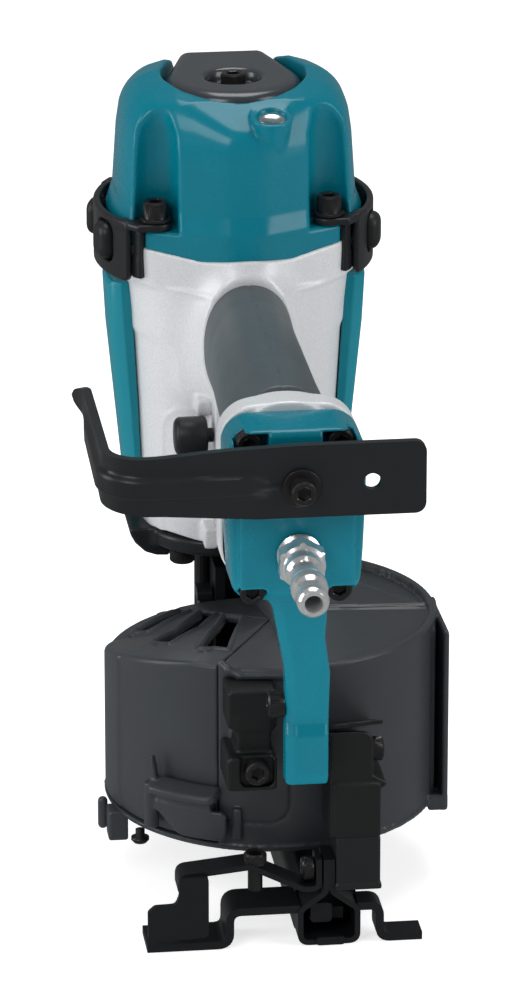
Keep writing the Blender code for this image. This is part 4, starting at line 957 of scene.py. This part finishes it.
def base_field(x, y, z):
    reach = disc(x, y, DRUM, 0)
    cone = (z - roof(x, y)) * 0.95
    ridge = bead(y + 69.6, 0.7) + 0.8 * bead(y + 72.4, 0.7)
    slant = (x - 38) * 0.79 + (y + 45) * 0.61
    ridge = np.where(x > 10, ridge, 0) + np.where(y > -69, 1.2 * bead(slant, 0.8), 0)
    deck = np.where(reach > 54.6, 93, 91.4 + ridge - 0.03 * np.maximum(reach - 20, 0))
    top = np.where(x < DRUM[0], cone, z - deck)
    turn = heading(x - DRUM[0], y - DRUM[1]) % 360
    line = abs(rect(turn - 258, z, (-14, 36.5), (12, 60), 7))
    groove = 0.5 * bead(line, 0.6) * (reach > 55) * (z < 56)
    shell = meet(reach - DRUM_R + groove, top, 0.9)
    hollow = both(reach - DRUM_INNER_R, np.where(x < DRUM[0] + 2.5, cone + 2.4, z - 89.6))
    shell = both(drill(shell, hollow), 26 - z)
    shell = both(shell, either(-ray(x, y, 245.1), ray(x, y, 118)))
    dish = meet(reach - ramp(z, (25, 26.4, 28), (54.5, 57, 57.7)), slab(z, 25, 28.2), 0.5)
    throat = brick(x, y, z, (-9, -34, 33), (24, -8, 74), 1)
    body = either(drill(shell, throat), dish)
    for z0, z1 in ((25, 33), (63, 71)):
        body = merge(body, knuckle(x, y, z, z0, z1, drum_point(56.2, 114.5, 0)), 1)
    body = drill(body, disc(x, y, HINGE, 2.1))
    plate = both(abs(x - ramp(y, (-96, -62), (61.9, 61.4))) - 1, slab(y, -96, -62))
    inner = both(abs(x - ramp(y, (-92, -62), (57.9, 59.6))) - 0.8, slab(y, -92, -62))
    bridge = both(slab(x, 56, 62.8), slab(y, -66, -62))
    guard = merge(either(plate, inner), bridge, 1)
    guard = meet(guard, slab(z, 24.2, 90.6), 1.2)
    body = merge(body, guard, 0.8)
    body = merge(body, brick(x, y, z, (56, -96, 24.2), (62.8, -90, 30), 1), 0.6)
    post = both(disc(x, y, DRUM, 5), slab(z, 26, 82))
    catch = both(slab(reach, 56, 59), both(ray(x, y, 253.5), -ray(x, y, 250.5)))
    catch = both(catch, both(slab(z, 31, 42), y - DRUM[1]))
    body = either(body, either(post, catch))
    for y0 in (-60, -32):
        body = merge(body, brick(x, y, z, (10.5, y0, 10.8), (18.7, y0 + 8, 27), 0.8), 1)
    clasp = ((56, 245.8, 93.6), (58, 249, 92.2), (58.6, 253, 90.4), (58.6, 269, 90.8))
    strip = ((57.4, 250.7, 72), (57.6, 249.4, 64), (57.6, 248.6, 55))
    for path, radius in ((clasp, 1.3), (strip, 0.9)):
        for start, end in zip(path, path[1:]):
            body = merge(body, rod(x, y, z, drum_point(*start), drum_point(*end), radius), 0.8)
    return body


def latch_field(x, y, z):
    reach = disc(x, y, DRUM, 0)
    along = (heading(x - DRUM[0], y - DRUM[1]) % 360 - 235) * 1.05
    loop = meet(slab(reach, 59.4, 61.7), rect(along, z, (-14.6, 30.7), (14.6, 41.2), 2.4), 0.7)
    loop = meet(loop, 8 - (along + 14.6) * 0.7 - (z - 30.7) * 0.9, 2)
    riser = polygon(along, z, [(-14.6, 38), (-10.4, 38), (-11.6, 48), (-13.6, 56.5), (-14.6, 56.5)], 0.6)
    riser = meet(riser, slab(reach, 59.2, 61.4), 0.6)
    shelf = both(rect(along, reach, (-13.6, 50), (11.4, 65.2), 3), 57.4 - reach)
    shelf = meet(shelf, slab(z, 44.8, ramp(reach, (58, 65), (49.2, 47.2))), 0.9)
    middle = both(rect(along, z, (-10.6, 40), (9, 46), 1), slab(reach, 57.5, 61.5))
    eye = meet(disc(x, y, drum_point(60.3, 221, 0)[:2], 2.6), slab(z, 30.7, 46.8), 0.6)
    body = merge(merge(loop, riser, 1), merge(shelf, middle, 0.6), 1)
    return merge(body, eye, 0.8)


def make_magazine():
    mould("magazine_base", base_field, (-55, -133, 10), (64, -12, 96), 0.8, "drum")
    mould("magazine_cover", cover_field, (-55, -127, 28), (6, -13, 95), 0.7, "drum", "cover")
    mould("cover_latch", latch_field, (-46, -138, 30), (-13, -105, 57.5), 0.6, "drum", "latch")
    pin = turned("cover_pin", [(26, 1.5), (26.4, 1.9), (69.6, 1.9), (70, 1.5)], (*HINGE, 0), count=32)
    dress(pin, "steel")
    profile = [(44, 5.4), (60, 5.4), (60, 8.6), (59.6, 9), (48, 9), (47.2, 10), (47, 12), (47, 46),
               (46.2, 46.6), (46.2, 49.6), (45.8, 50), (44.4, 50), (44, 49.6)]
    deck = turned("nail_platform", profile, (*DRUM, 0), count=96, closed=True)
    dress(crease(deck), "plastic", "platform")

    def clip_field(x, y, z):
        block = brick(x, y, z, (-54.4, -93, 17.4), (-47.6, -84, 28), 0.9)
        return merge(block, rod(x, y, z, (-55.4, -82, 19.6), (-55.4, -82, 28), 1.7), 1.6)

    mould("floor_clip", clip_field, (-57.5, -94, 17), (-47, -80, 30), 0.5, "drum", extra=True)
    profile = [(25.4, 1.6), (22.6, 1.6), (22.6, 3.1), (21.6, 3.1), (20.6, 2.2), (20.4, 0.4)]
    dress(turned("floor_screw", profile, (-44.5, -102, 0), count=32), "screw", extra=True)


def left_bracket_field(x, y, z):
    upper = brick(x, y, z, (-18.6, -140, 76), (-2.2, -110, 89.4), 1.2)
    neck = brick(x, y, z, (-15.4, -140, 60), (-4, -110, 80), 1)
    plate = brick(x, y, z, (-19.4, -145, 55.4), (-2.6, -110, 67.4), 1.4)
    body = merge(merge(upper, neck, 3), plate, 1.4)
    pocket = both(rect(x, z, (-15, 57), (-3.6, 68.2), 2.4), y + 142.6)
    body = cut_out(body, pocket, 0.6)
    return both(body, DRUM_R + 0.3 - disc(x, y, DRUM, 0))


def right_bracket_field(x, y, z):
    fall = 0.4 * (y + 149)
    lug = rect(x, z + fall, (8, 30), (29.4, 77.2), 4)
    lug = meet(lug, -149 - y, 1.2)
    lower = meet(rect(x, z, (16, 38.8), (31.8, 58.4), 1), -150.2 - y, 1)
    body = merge(both(lug, 14.8 - x), lower, 1)
    step = polygon(x, z, [(29, 54), (34, 57.4), (33.4, 58.6), (29, 61)], 0.4)
    body = either(body, both(step, slab(y, -149, -130)))
    lip = abs(z + fall - 79 - 0.08 * (x - 16)) - 0.8
    lip = both(lip, both(slab(x, 14.8, 32.4), slab(y, -148.6, -110)))
    body = merge(body, lip, 0.8)
    body = both(body, 38.8 - z)
    return both(body, DRUM_R + 0.9 - disc(x, y, DRUM, 0))


def right_pad_field(x, y, z):
    body = brick(x, y, z, (16.8, -150, 20.2), (31.8, -132, 39.2), 0.8)
    sole = brick(x, y, z, (16.4, -150.4, 20), (32.2, -131.6, 22.2), 0.6)
    return both(merge(body, sole, 0.5), DRUM_R + 0.9 - disc(x, y, DRUM, 0))


def make_brackets():
    mould("arm_bracket_left", left_bracket_field, (-20, -146, 55), (-2, -120, 93), 0.55, "dark")
    mould("arm_bracket_right", right_bracket_field, (14.5, -151, 38.5), (34.5, -116, 83), 0.55, "dark")
    mould("bracket_pad", right_pad_field, (16, -151, 19.5), (33, -126, 39.5), 0.55, "pad", extra=True)
    screw("bracket_bolt_left", (-9.3, -142.4, 62.4), (0, -1, 0), 4, 4.6, extra=True)
    screw("bracket_bolt_right", (28.6, -141, 67.4), (1, 0, 0), 4, 5, 4.1, extra=True)
    screw("arm_bolt", (-1.4, -153, 90), (-1, 0, 0), 12, 5.6, 4.5, extra=True)


# ---- sliding gauge

def bend(points, radius):
    """An open path with its inner corners rounded."""
    made = [points[0]]
    for before, here, after in zip(points, points[1:], points[2:]):
        made += round_corner(before, here, after, radius, 6)
    return made + [points[-1]]


def sheet(name, points, thick, radius, low, high):
    """Sheet metal: a bent path in X and Z, thickened both ways and carried from one Y to another."""
    path = bend(points, radius)
    over = []
    under = []
    for i, spot in enumerate(path):
        way = Vector(path[min(i + 1, len(path) - 1)]) - Vector(path[max(i - 1, 0)])
        side = Vector((-way.y, way.x)).normalized() * thick / 2
        over.append(tuple(Vector(spot) + side))
        under.append(tuple(Vector(spot) - side))
    return prism(name, over + under[::-1], low, high, "XZ")


def make_guide_bar():
    bar = box("guide_bar", (8.8, -141, 6), (20.4, -20, 10.2))
    end = prism("end", rounded([(8.6, 7), (15.9, 7), (15.9, 14), (8.6, 14)], 1.6), -146, -140.5, "XZ")
    dress(soften(join(bar, end), 0.5, 2), "foot")


def make_guide_rail():
    """The folded rail, its house for the clamp and its two feet."""
    middle = 14.6
    left = middle - 9.7
    right = middle + 9.7
    path = [(middle - 6.6, 16.6), (left, 14.2), (left, 1), (right, 1), (right, 14.2), (middle + 6.6, 16.6)]
    rail = sheet("guide_rail", path, 2, 2, -137, -45)
    path = [(middle - 0.95, 31), (middle - 0.95, 19.2), (left, 12.8), (left, 1), (right, 1),
            (right, 12.8), (middle + 0.95, 19.2), (middle + 0.95, 31)]
    house = sheet("house", path, 1.9, 3, -149, -136.6)
    foot_left = sheet("foot", [(left, 13.2), (-19, 13.2), (-19, 1.4), (-47, 1.4)], 2.8, 4, -148.6, -132)
    path = [(right, 13.2), (31.9, 13.2), (31.9, 1.4), (46.4, 1.4)]
    foot_right = sheet("foot", path, 2.8, 3.6, -148.6, -139)
    tab = prism("tab", rounded([(10.3, 0.1), (19.8, 0.1), (19.8, 3), (10.3, 3)], 1), -149.8, -148, "XZ")
    join(rail, house, foot_left, foot_right, tab)
    dress(soften(rail, 0.45, 2, 40), "foot", "gauge")


def make_gauge_arm():
    path = [(11.2, 31), (11.2, 20.4), (6, 20.4), (-12, 29.4), (-35.6, 27), (-35.6, 22)]
    arm = sheet("gauge_arm", path, 1.9, 3, -148.6, -138.4)
    outline = [(-26.4, 27.6), (-36.4, 27, 0.5), (-36.4, 21, 2.5), (-37.6, 17.8, 2), (-44.6, 17.6, 2),
               (-46.9, 15.6), (-46.9, 4.4), (-26.4, 5.6)]
    blade = prism("blade", rounded(outline, 1.6), -150.8, -148.7, "XZ")
    fold = box("fold", (-36, -150, 24.6), (-26.6, -147, 27.2))
    dress(soften(join(arm, blade, fold), 0.4, 2, 40), "foot", "gauge")
    screw("gauge_screw", (-10, -144.4, 29.2), (0, 0, 1), 9.4, 4, 3.9, body="gauge", extra=True)
    screw("guide_clamp_bolt", (9.9, -142.8, 25.6), (-1, 0, 0), 6, 4, body="gauge")


# ---- stage

def make_stage():
    """A pale floor, big soft lights and the camera, behind the tool and a little above it."""
    scene = bpy.context.scene
    scene.view_settings.view_transform = "Standard"
    world = bpy.data.worlds.new("studio")
    world.use_nodes = True
    sky = world.node_tree.nodes["Background"]
    sky.inputs["Color"].default_value = (1, 1, 1, 1)
    sky.inputs["Strength"].default_value = 0.18
    scene.world = world

    mesh = bpy.data.meshes.new("floor")
    corners = ((-4, -4), (4, -4), (4, 4), (-4, 4))
    mesh.from_pydata([(x, y, -0.0002) for x, y in corners], [], [(0, 1, 2, 3)])
    floor = bpy.data.objects.new("floor", mesh)
    scene.collection.objects.link(floor)
    paper = surface("floor_paper", (0.86, 0.86, 0.86), 0.8, height=0, mottle=0.01)
    glow = paper.node_tree.nodes["Principled BSDF"]
    glow.inputs["Emission Color"].default_value = (1, 1, 1, 1)
    glow.inputs["Emission Strength"].default_value = 0.70
    mesh.materials.append(paper)
    floor.visible_glossy = False

    for name, spot, size, power in (("key", (-0.9, -1.2, 1.2), (0.8, 0.8), 9),
                                    ("fill", (1.2, -0.7, 0.7), (0.6, 1), 7),
                                    ("top", (0.1, 0.3, 1.5), (0.9, 0.9), 11),
                                    ("left", (-1.3, 0.1, 0.5), (0.5, 1), 6)):
        light = bpy.data.lights.new(name, "AREA")
        light.shape = "RECTANGLE"
        light.size, light.size_y = size
        light.energy = power
        lamp = bpy.data.objects.new(name, light)
        lamp.location = spot
        lamp.rotation_euler = (Vector((0, 0, 0.14)) - Vector(spot)).to_track_quat("-Z", "Y").to_euler()
        scene.collection.objects.link(lamp)

    camera = bpy.data.cameras.new("camera")
    camera.lens = 211
    camera.clip_end = 20
    eye = bpy.data.objects.new("camera", camera)
    eye.location = (-0.2270, -1.8544, 0.8175)
    aim = Vector((0.0020, 0.011, 0.1335))
    eye.rotation_euler = (aim - eye.location).to_track_quat("-Z", "Y").to_euler()
    scene.collection.objects.link(eye)
    scene.camera = eye


# ---- the rest of the frame

# Inner and small pieces that keep the frame's own shape, with rounded edges
NODE_LOOKS = {
    "black": ("driver_guide", "nose_door", "contact_arm"),
    "steel": ("cylinder_sleeve", "piston_driver", "head_valve_spring", "contact_spring", "trigger_pin",
              "trigger_valve_stem", "door_pin", "feed_pawl"),
    "plastic": ("head_valve", "trigger_valve_body"),
    "seal": ("driver_bumper", "piston_ring", "cap_gasket"),
}


def dress_frame(frame):
    for look, nodes in NODE_LOOKS.items():
        for node in nodes:
            obj = frame["nodes"][node]
            obj.data.materials.clear()
            obj.data.materials.append(LOOKS[look])
            if "spring" not in node:
                soften(obj, 0.3, 2)


def main():
    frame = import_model()
    LOOKS.update(make_looks())
    dress_frame(frame)
    for make in (make_cap, make_deflector, make_bumpers, make_housing, make_side_panels, make_grip,
                 make_end_cap, make_plug, make_hook, make_trigger, make_selector, make_base_plate,
                 make_door_latch, make_dial, make_foot, make_feed_cylinder, make_magazine, make_brackets,
                 make_guide_bar, make_guide_rail, make_gauge_arm):
        make()
    make_stage()


main()
